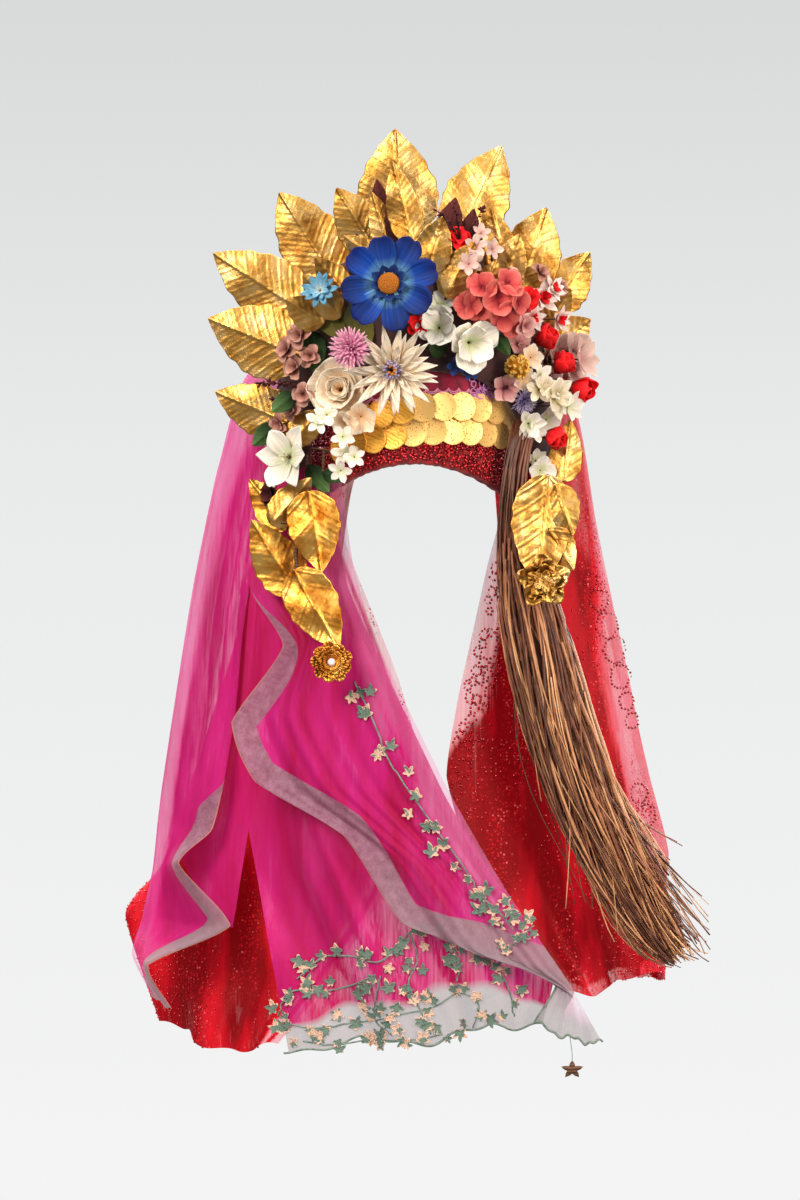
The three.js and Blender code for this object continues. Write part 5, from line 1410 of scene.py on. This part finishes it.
# %% Veil nets
VEILS = {
    # panel: waves, depth and shift of the folds, fine folds, then the threads' points, a row a level
    "pink_veil_front": (2, 6, 0.1, 6, [
        [(-66, -87, -4), (-98, -67, 8), (-122, -41, 6)],
        [(-56, -93, -76), (-100, -80, -85), (-150, -58, -97)],
        [(-39, -101, -139), (-82, -94, -146), (-118, -84, -153)],
        [(-9, -109, -202), (-90, -98, -212), (-165, -70, -222)],
        [(31, -117, -283), (-60, -110, -280), (-144, -86, -274)],
        [(81, -122, -369), (10, -122, -348), (-63, -114, -321)],
        [(130, -124, -441), (62, -126, -424), (-12, -122, -398)],
        [(140, -123, -457), (102, -126, -441), (58, -123, -419)],
        [(148, -122, -472), (138, -125, -461), (127, -121, -447)],
        [(166, -121, -505), (140, -120, -501), (106, -118, -487)],
    ]),
    "pink_veil_under": (3, 7, 0.6, 8, [
        [(-79, -76, -4), (-98, -63, 8), (-121, -37, 6)],
        [(-60, -80, -100), (-100, -66, -100), (-155, -18, -100)],
        [(-22, -88, -185), (-90, -76, -190), (-166, -16, -195)],
        [(26, -97, -285), (-84, -82, -286), (-190, 8, -285)],
        [(64, -101, -350), (-58, -94, -354), (-214, 8, -352)],
        [(124, -105, -434), (-20, -104, -440), (-160, -46, -432)],
        [(114, -106, -486), (12, -110, -502), (-118, -76, -515)],
    ]),
    "pink_veil_outer": (2, 7, 0.2, 7, [
        [(-121, -30, 30), (-104, -58, 96), (-40, -107, 122)],
        [(-132, -24, -6), (-156, -4, 84), (-66, 34, 150)],
        [(-144, -26, -60), (-180, 6, -4), (-128, 74, 70)],
        [(-156, -28, -140), (-199, 8, -100), (-160, 66, -70)],
        [(-163, -30, -215), (-213, 6, -195), (-186, 58, -185)],
        [(-174, -36, -283), (-226, 2, -283), (-206, 50, -285)],
        [(-184, -40, -322), (-231, 1, -320), (-216, 38, -322)],
        [(-214, -44, -352), (-236, 0, -358), (-226, 26, -360)],
        [(-166, -58, -408), (-242, -4, -408), (-240, 14, -410)],
        [(-242, -36, -446), (-255, -10, -440), (-248, 8, -440)],
        [(-220, -46, -486), (-234, -28, -478), (-246, -6, -460)],
    ]),
    "red_veil_left": (3, 8, 0.3, 9, [
        [(-84, -70, -2), (-108, -44, 8), (-95, 10, 50), (-38, 101, 60)],
        [(-54, -70, -84), (-118, -36, -70), (-128, 40, -50), (-60, 112, -20)],
        [(-14, -78, -185), (-130, -28, -170), (-162, 56, -160), (-78, 116, -150)],
        [(8, -82, -280), (-150, -4, -275), (-194, 70, -265), (-95, 112, -260)],
        [(-30, -76, -380), (-170, 10, -380), (-228, 78, -362), (-112, 106, -370)],
        [(-80, -66, -460), (-186, 10, -460), (-262, 76, -406), (-125, 100, -440)],
        [(-124, -50, -519), (-196, 0, -520), (-228, 64, -500), (-130, 94, -480)],
    ]),
    "red_veil_right": (3, 9, 0.45, 9, [
        [(106, -56, 16), (104, -58, 90), (40, -107, 122)],
        [(84, -74, -14), (146, 0, 60), (58, 36, 152)],
        [(66, -76, -76), (164, 8, -40), (70, 112, 60)],
        [(50, -80, -148), (181, 8, -125), (80, 124, -70)],
        [(38, -84, -202), (197, 6, -200), (92, 120, -180)],
        [(28, -86, -270), (213, 4, -275), (104, 110, -280)],
        [(50, -84, -346), (230, 2, -345), (118, 100, -360)],
        [(95, -80, -418), (224, -6, -405), (128, 92, -420)],
        [(132, -76, -466), (222, -16, -456), (135, 85, -468)],
    ]),
}
VEIL_ROWS, VEIL_COLUMNS = 160, 108
FINE_FOLD, CRISPNESS, HEM_WAVE, NARROW = 1.6, 0.55, 4.5, 120.0


def hang(waves, depth, shift, fine, net):
    """The points of a panel that hangs along a net of threads, with folds that deepen downward."""
    fall, share = np.linspace(0, 1, VEIL_ROWS), np.linspace(0, 1, VEIL_COLUMNS)
    net = np.array(net, float)
    step = np.minimum((fall * (len(net) - 1)).astype(int), len(net) - 2)
    part = (fall * (len(net) - 1) - step)[:, None, None]
    straight = net[step] * (1 - part) + net[step + 1] * part
    threads = CRISPNESS * straight + (1 - CRISPNESS) * smooth_line(net, fall)
    cloth = smooth_line(threads.transpose(1, 0, 2), share).transpose(1, 0, 2)
    course = np.gradient(cloth, axis=1)
    facing = unit(np.stack([-course[..., 1], course[..., 0], 0 * course[..., 0]], -1))
    narrow = np.clip(np.linalg.norm(course, axis=-1).sum(1) / NARROW, 0.25, 1)[:, None]
    fall, share = fall[:, None], share[None]
    wave = depth * fall ** 0.7 * np.sin(2 * math.pi * (waves * share + shift))
    for pitch, drift in ((fine, 5.0), (0.61 * fine, 3.0), (1.4 * fine, 8.0)):
        swell = FINE_FOLD * fall ** 0.5 * (0.5 + 0.5 * np.sin(6 * share + drift * fall + pitch))
        wave = wave + swell * np.sin(2 * math.pi * pitch * share + 2 * np.sin(drift * fall + 5 * share))
    ripple = np.sin(2 * math.pi * (2.3 * share + shift)) + 0.5 * np.sin(2 * math.pi * 5.7 * share)
    hem = HEM_WAVE * fall ** 6 * ripple
    cloth = cloth + facing * (wave * narrow * np.sin(math.pi * share) ** 0.5)[..., None]
    return cloth + (hem * narrow)[..., None] * np.array([0, 0, 1.0])


def length_from(points, axis, backward=False):
    """How far each point lies from one edge of the cloth, measured along it, in millimetres."""
    step = np.linalg.norm(np.diff(points, axis=axis), axis=-1)
    step = np.flip(step, axis) if backward else step
    zero = np.zeros_like(np.take(step, [0], axis))
    total = np.concatenate([zero, np.cumsum(step, axis)], axis)
    return np.flip(total, axis) if backward else total


def distance_to(points, edge):
    """How far each point lies from the nearest point of an edge, in millimetres."""
    nearest = [np.linalg.norm(row[:, None] - edge[None], axis=-1).min(1) for row in points]
    return np.array(nearest)


def clear_of_cap(points, room=1.5):
    """Pushes cloth that dips into the cap out to its surface."""
    x, y, z = points[..., 0] / CAP_HALF_WIDTH, points[..., 1] / CAP_HALF_DEPTH, points[..., 2]
    angle = np.arctan2(x, -y)
    rise = np.clip((z - rim_height(angle)) / (CAP_TOP - rim_height(angle)), 0, 0.999)
    wall = np.cos(np.arcsin(rise ** (1 / ROUNDNESS))) ** ROUNDNESS + room / CAP_HALF_WIDTH
    inside = (z > rim_height(angle)) & (z < CAP_TOP)
    grow = np.where(inside, np.maximum(1, wall / np.maximum(np.hypot(x, y), 1e-6)), 1)
    return points * np.stack([grow, grow, 0 * grow + 1], -1)


CLOTH = {panel: clear_of_cap(hang(*values)) for panel, values in VEILS.items()}

# %% [markdown]
# How much a panel hides is set point by point: little in a strip along the outer fold and along the free
# edges, where one or two layers hang in front of the light, and much where the gathered folds lie
# together. The cover rises across each fold band and drops at its crease, partly as where cloth is folded
# over and partly as painted fold shade, since more cover also gives a deeper colour.

# %% Cover of each panel
def ease(value, low, high):
    t = np.clip((value - low) / (high - low), 0, 1)
    return t * t * (3 - 2 * t)


def cover_of(panel, cloth, fall, share):
    """How much each point of a panel hides, from 0 to 1."""
    edge, hem = length_from(cloth, 1), length_from(cloth, 0, True)
    x, height = cloth[..., 0], cloth[..., 2]
    out = np.abs(x - x[np.arange(len(x)), np.abs(x).argmax(1)][:, None])
    # Bands of cover across the width: partly cloth folded over, partly painted fold shade.
    folded = (9 * share + 0.48 * fall + 0.64 * np.sin(7 * share)) % 1.0
    pleat = (0.12 * folded ** 1.5 - 0.05) * ease(fall, 0, 0.3)
    if panel == "pink_veil_front":
        return 0.42 + 0.50 * ease(edge, 2, 56) - 0.24 * ease(fall, 0.5, 0.8) + pleat
    if panel == "pink_veil_under":
        return 0.94 + pleat
    if panel == "pink_veil_outer":
        front = np.where(share < 0.5, 0.58 + 0.38 * ease(out, 7, 16), 0.62)
        return front - 0.36 * ease(fall, 0.78, 0.9) + pleat
    if panel == "red_veil_left":
        rope = 0.6 * ease(edge, 7, 9) * ease(-edge, -15, -12)
        return 0.36 + 0.5 * ease(edge, 10, 30) + rope + 0.2 * ease(fall, 0.5, 0.7) + pleat
    inner_strip = 28 * ease(height, -262, -205)
    outer_strip = 34 * ease(-height, 0, 200) * ease(height, -400, -330)
    gathered = 0.56 * ease(edge - inner_strip, -12, 6) * ease(out - outer_strip, -14, 2)
    upper = 0.42 * ease(height, -110, -50) * ease(-out, -50, -15)
    low = 0.12 * ease(fall, 0.45, 0.75) * gathered
    border, rim = 0.12 * ease(-hem, -56, -24), 0.16 * ease(-hem, -13, -9)
    return 0.54 + gathered + low - upper - border - rim + 2 * pleat


# %% [markdown]
# Two panels have a ribbon along one edge, which grows from nothing to its full width. The under panel is
# parted at its lower left by a slit. Its rows are sampled anew up to each edge of the slit, which gives
# two grids that share their points above the slit's top, so it stays one sheet.

# %% Hung panels
HANGING = [
    # panel, material, edge with the ribbon, highest point of the ribbon, how far it widens, slot
    ("pink_veil_front", RIBBON_ORGANZA, "last", -95.0, 105.0, "pink_organza"),
    ("pink_veil_under", GAUZE_ORGANZA, None, 0.0, 0.0, "pink_organza"),
    ("pink_veil_outer", OUTER_ORGANZA, "first", -276.0, 30.0, "pink_organza"),
    ("red_veil_left", RED_TULLE, None, 0.0, 0.0, "red_tulle"),
    ("red_veil_right", RED_TULLE, None, 0.0, 0.0, "red_tulle"),
]
SLIT_X, SLIT_TOP, SLIT_SLOPES = -151.0, -322.0, (0.19, -0.16)
SLIT_COLUMNS, SLIT_END = 24, 0.972


def slit_shares(cloth):
    """For each row, the shares of the width at which the two edges of the slit lie."""
    depth = np.maximum(SLIT_TOP - cloth[..., 2], 0)
    shares = np.linspace(0, 1, cloth.shape[1])
    edges = []
    for slope in SLIT_SLOPES:
        past = np.maximum.accumulate(SLIT_X + slope * depth - cloth[..., 0], axis=1)
        edges.append(np.array([np.interp(0, row, shares) for row in past]))
    return edges


def rows_between(field, low, high, columns):
    """The rows of a field, sampled anew between two shares of the width."""
    at = (low[:, None] + np.outer(high - low, np.linspace(0, 1, columns))) * (field.shape[1] - 1)
    left = np.minimum(at.astype(int), field.shape[1] - 2)
    part = (at - left).reshape(at.shape + (1,) * (field.ndim - 2))
    row = np.arange(len(field))[:, None]
    return field[row, left] * (1 - part) + field[row, left + 1] * part


def slit_sheet(fields):
    """The fields and faces of one sheet that is whole above the slit and parted below."""
    inner, outer = slit_shares(fields[0])
    rows = np.nonzero(outer < SLIT_END)[0]
    wide = [rows_between(field, 0 * inner, inner, VEIL_COLUMNS) for field in fields]
    narrow = [rows_between(field[rows], outer[rows], 0 * outer[rows] + 1, SLIT_COLUMNS)
              for field in fields]
    first = np.arange(len(inner) * VEIL_COLUMNS).reshape(-1, VEIL_COLUMNS)
    second = first.size + np.arange(len(rows) * SLIT_COLUMNS).reshape(-1, SLIT_COLUMNS)
    closed = outer[rows] - inner[rows] < 1e-6
    second[closed, 0] = first[rows[closed], -1]
    faces = [np.stack([part[:-1, :-1], part[:-1, 1:], part[1:, 1:], part[1:, :-1]], -1).reshape(-1, 4)
             for part in (first, second)]
    used, faces = np.unique(np.concatenate(faces), return_inverse=True)
    joined = [np.concatenate([a.reshape((-1,) + a.shape[2:]), b.reshape((-1,) + b.shape[2:])])[used]
              for a, b in zip(wide, narrow)]
    return joined, faces.reshape(-1, 4).tolist()


FAR = 999.0
RIBBON_SIDE = {"first": 0, "last": -1}
HEM_SHARES, EVEN_HEM = [0, 0.15, 0.4, 0.7, 1], [1] * 5
HEM_HEIGHTS = {"pink_veil_under": [0.35, 0.8, 1.1, 0.85, 0.5]}
fall, share = np.meshgrid(np.linspace(0, 1, VEIL_ROWS), np.linspace(0, 1, VEIL_COLUMNS), indexing="ij")
panels, COVER = {}, {}
for panel, material, ribbon, highest, widening, slot in HANGING:
    cloth = CLOTH[panel]
    border = np.full(fall.shape, FAR)
    if ribbon:
        grown = ease(highest - cloth[..., 2], 0, widening)
        border = distance_to(cloth, cloth[:, RIBBON_SIDE[ribbon]]) / np.maximum(grown, 1 / FAR)
        border = border * (1 + 0.35 * ease(fall, 0.55, 0.75))
    COVER[panel] = cover_of(panel, cloth, fall, share)
    heap = Heap()
    hem = length_from(cloth, 0, True) / np.interp(share, HEM_SHARES, HEM_HEIGHTS.get(panel, EVEN_HEM))
    fields = [cloth, border, hem, COVER[panel]]
    faces = grid_faces(VEIL_ROWS, VEIL_COLUMNS)
    if panel == "pink_veil_under":
        fields, faces = slit_sheet(fields)
    heap.add(fields[0], faces, along=fields[1], across=fields[2], tone=fields[3])
    panels[panel] = heap.piece(panel + "_cloth", [material], [panel], slot)

# %% [markdown]
# ## Trim on the veils
# Ivy leaves are sewn on the organza as small cut-outs with a raised rim, joined by stems of cord. The
# hems carry a grey-green cord, and a small star hangs from the front tip on a thread. The ivy is placed on
# the front-most layer of a panel by looking up the nearest point of its mesh.

# %% Places on a panel
def facing_of(cloth):
    """The way that each point of a panel faces, on the side of the viewer."""
    away = unit(np.cross(np.gradient(cloth, axis=1), np.gradient(cloth, axis=0)))
    return np.where(away[..., 1:2] > 0, -away, away)


FACING = {panel: facing_of(cloth) for panel, cloth in CLOTH.items()}


def on_panel(panel, x, z, gap=1.0):
    """The place on a panel at x and z, a gap in front of it, and the way that it faces."""
    cloth = CLOTH[panel]
    distance = np.hypot(cloth[..., 0] - x, cloth[..., 2] - z)
    depth = np.where(distance < distance.min() + 4, cloth[..., 1], FAR)
    spot = np.unravel_index(np.argmin(depth), depth.shape)
    facing = FACING[panel][spot]
    aside, above = np.clip([x - cloth[spot][0], z - cloth[spot][2]], -4, 4)
    ahead = (facing[0] * aside + facing[2] * above) / max(-facing[1], 0.3)
    return cloth[spot] + [aside, ahead, above] + gap * facing, facing


# %% Ivy
def printed_cotton(name, field, rim):
    """Cut-out of matte printed cotton, green in the middle and cream in patches towards the points."""
    look = Finish(name)
    patch = look.span(look.noise(9.0, 1.0), 0.3, 0.7)
    print_edge = look.maths("MULTIPLY_ADD", look.value("along"), 0.4, patch)
    shade = look.ramp(print_edge, (0.84, field), (0.90, rim))
    relief = look.bump(look.noise(0.9), 0.5, 0.4)
    return look.done(look.surface(shade, 0.7, relief, {"Sheen Weight": 0.3}))


IVY_CLOTH = printed_cotton("ivy_cut_out", "#5C7468", "#D2AC96")
GREEN_CORD = woven_cloth("grey_green_cord", "#7F9088", "#566860", 0.7, 5.0)
LOBE_ANGLES = np.radians([0, 30, 60, 96, 126, 160, 180])
LOBE_REACH = [1.0, 0.40, 0.86, 0.36, 0.66, 0.34, 0.30]


def ivy_leaf(heap, place, facing, size, turn):
    """Adds one lobed leaf, as rings from its middle to its rim."""
    angle = np.linspace(0, 2 * math.pi, 36, endpoint=False)[None]
    t = np.array([0.05, 0.4, 0.74, 0.8, 0.93, 1.0])[:, None]
    edge = np.interp(np.abs((angle + math.pi) % (2 * math.pi) - math.pi), LOBE_ANGLES, LOBE_REACH)
    edge = edge * (1 + 0.18 * np.sin(angle + turn))
    rise = np.interp(t, [0, 0.74, 0.82, 0.95, 1.0], [0.6, 0.4, 1.2, 1.1, 0.2])
    x, y = size * t * edge * np.cos(angle), size * t * edge * np.sin(angle)
    vein = 0.5 * np.exp(-np.abs(np.sin(2.5 * angle)) * 6) * t * (1 - t)
    local = np.stack([x, y, rise + vein + 0 * x], -1)
    heap.grid(place + local @ frames_along(facing, turn)[0], wrap=True, along=t + 0 * angle)


FRONT, UNDER = "pink_veil_front", "pink_veil_under"
VINES = [
    # panel, then the vine's points in x z
    (FRONT, [
        (-54, -184), (-39, -216), (-22, -256), (0, -288), (22, -319), (42, -346), (58, -373),
        (74, -387), (88, -404),
    ]),
    (UNDER, [
        (-106, -453), (-84, -434), (-57, -430), (-33, -434), (-16, -421), (-5, -408), (14, -406),
        (31, -417), (39, -436), (37, -451),
    ]),
    (UNDER, [(-123, -487), (-116, -468), (-101, -462), (-84, -464), (-60, -458), (-40, -448)]),
    (UNDER, [
        (-119, -492), (-93, -496), (-63, -492), (-35, -487), (-8, -479), (16, -475), (39, -462),
        (56, -470), (52, -492),
    ]),
    (UNDER, [(-31, -446), (-35, -466), (-35, -487), (-20, -500)]),
    (UNDER, [(-5, -408), (2, -432), (-6, -452), (4, -476), (14, -498)]),
    (UNDER, [(58, -430), (74, -441), (84, -462), (88, -483)]),
    (UNDER, [(-100, -508), (-70, -510), (-40, -506), (-8, -503), (24, -499)]),
    (FRONT, [(108, -398), (99, -404), (91, -413), (82, -422)]),
]
SINGLE_LEAVES = {
    # panel: x z of each leaf
    FRONT: [
        (-51, -194), (-44, -213), (-33, -249), (11, -312), (15, -336), (63, -369), (69, -387),
        (57, -387), (81, -378), (74, -400),
    ],
    UNDER: [(-120, -499), (-84, -505), (-40, -505), (6, -503), (40, -498), (66, -486)],
}
ivy = Heap()
cords = Heap()
rng = np.random.default_rng(600)
for panel, points in VINES:
    steps = smooth_line(points, np.linspace(0, 1, 8 * len(points)))
    cords.tube(np.array([on_panel(panel, x, z)[0] for x, z in steps]), 0.8, 5)
    for x, z in smooth_line(points, np.linspace(0.02, 0.98, int(2.2 * len(points)))):
        place, facing = on_panel(panel, x + rng.uniform(-11, 11), z + rng.uniform(-9, 9), 1.4)
        ivy_leaf(ivy, place, facing, rng.uniform(6.5, 10.0), rng.uniform(0, 2 * math.pi))
for panel, spots in SINGLE_LEAVES.items():
    for x, z in spots:
        ivy_leaf(ivy, *on_panel(panel, x, z, 1.2), rng.uniform(8, 11), rng.uniform(0, 2 * math.pi))
ivy_piece = ivy.piece("ivy_leaves", [IVY_CLOTH], slot="pink_organza")

# %% Hem cords and star
for panel in (UNDER, FRONT):
    cords.tube(CLOTH[panel][-1] + 0.6 * FACING[panel][-1], 1.0, 6)
tip = int(0.86 * VEIL_ROWS)
cords.tube(CLOTH[FRONT][tip:, -1] + 0.6 * FACING[FRONT][tip:, -1], 0.9, 6)
cord_piece = cords.piece("hem_cords", [GREEN_CORD], slot="pink_organza")

CHARM_RADIUS, CHARM_X, CHARM_HEIGHT, KNOT_X, THREAD_RADIUS = 10.5, 139.5, -528.0, 137, 0.35
CHARM_LAYERS = [
    # share of the radius, depth
    (0.05, 2.2), (0.9, 1.0), (1.0, 0.0), (0.9, -1.0), (0.05, -2.2),
]
hem_line = CLOTH[FRONT][-1]
knot = hem_line[np.argmin(np.abs(hem_line[:, 0] - KNOT_X))]
CHARM = np.array([CHARM_X, knot[1], CHARM_HEIGHT])
star = Heap()
star.wire([knot, (knot + CHARM) / 2 + [1.0, 0, 0], CHARM + [0, 0, 6]], 10, THREAD_RADIUS, 5, slot=1)
turn = np.linspace(0, 2 * math.pi, 20, endpoint=False)
point = CHARM_RADIUS * np.tile([1.0, 0.68, 0.45, 0.68], 5)
rim = np.stack([point * np.sin(turn), 0 * turn, 0.8 * point * np.cos(turn)], -1)
layers = np.stack([CHARM + rim * share + [0, deep, 0] for share, deep in CHARM_LAYERS])
star.grid(layers, wrap=True, ends=True)
star.piece("star_charm", [BROWN_TAPE, GREEN_CORD], slot="stem_wire")

# %% [markdown]
# ## Sequins on the tulle
# Red sequins are sewn on the red net, some scattered in clumps and some in rings. Each is a shallow cone
# that faces about as the cloth does.

# %% Tulle sequins
DARK_SEQUIN = sequin_plastic("dark_red_sequin_film", "#CC2232", "#981422")
# A lighter copy of the red sequin film, for the scattered sequins: painted glints.
PAINTED_GLINT_SEQUIN = sequin_plastic("bright_red_sequin_film", "#F2484E", "#C81420")
SEQUIN_SPACING = 3.4
OUTER_RINGS = [
    # x, z, radius
    (160, -96, 7), (168, -114, 10), (175, -137, 12), (183, -160, 12), (187, -184, 11), (193, -206, 8),
    (198, -224, 7), (204, -290, 9), (211, -310, 10), (208, -334, 11), (196, -328, 8), (44, -262, 8),
    (37, -282, 7),
]


def lace_rings(rng, kept=0.7):
    """Small rings in three uneven columns along the front edge of the right veil."""
    edge = CLOTH["red_veil_right"][:, 0]
    level = np.repeat(np.arange(-72.0, -250.0, -8.5), 3)
    offset = np.tile([9.0, 18.0, 27.0], len(level) // 3)
    level, offset = level + rng.uniform(-3, 3, len(level)), offset + rng.uniform(-2.5, 2.5, len(level))
    x = np.interp(-level, -edge[:, 2], edge[:, 0]) + offset
    chosen = rng.uniform(size=len(level)) < kept
    return list(zip(x[chosen], level[chosen], rng.uniform(3.2, 5.0, chosen.sum())))


RINGS = {"red_veil_left": [], "red_veil_right": OUTER_RINGS + lace_rings(np.random.default_rng(610))}
SCATTERED = {"red_veil_left": 5000, "red_veil_right": 6000}
DENSE = 0.78
for number, (panel, scattered) in enumerate(SCATTERED.items()):
    rng = np.random.default_rng(620 + number)
    cloth, facing = CLOTH[panel], FACING[panel]
    places, ways = [], []
    for x, z, reach in RINGS[panel]:
        beads = int(2 * math.pi * reach / SEQUIN_SPACING)
        for turn in 2 * math.pi * np.arange(beads) / beads:
            far = reach * rng.uniform(0.9, 1.1)
            place, way = on_panel(panel, x + 0.85 * far * math.cos(turn), z + far * math.sin(turn), 0.5)
            places.append(place)
            ways.append(way)
    fall, share = rng.uniform(0.03, 1, scattered) ** 0.6, rng.uniform(0.02, 0.98, scattered)
    row, column = (np.round(v * (n - 1)).astype(int) for v, n in zip((fall, share), cloth.shape))
    x, _, z = cloth[row, column].T
    clump = np.sin(x / 23 + 1.3 * np.sin(z / 31)) + np.sin(z / 27 + 1.7 * np.sin(x / 19))
    chosen = (COVER[panel][row, column] > DENSE) & (clump > rng.uniform(-0.6, 1.4, scattered))
    row, column = row[chosen], column[chosen]
    side = rng.choice([-0.4, 0.4], len(row))[:, None]
    sewn = Heap()
    for radius, slot, spots, way in (
        (1.4, 0, np.reshape(places, (-1, 3)), np.reshape(ways, (-1, 3))),
        (1.2, 1, cloth[row, column] + side * facing[row, column], side * facing[row, column]),
    ):
        frames = frames_along(tipped(unit(way), rng, 0.35), rng.uniform(0, 6, len(way)))
        sewn.scatter(*sequin_form(radius, 0.5), spots, frames, slot, rng.uniform(0.2, 1, len(way)))
    sewn.piece(panel + "_sequins", [DARK_SEQUIN, PAINTED_GLINT_SEQUIN], slot="red_tulle")
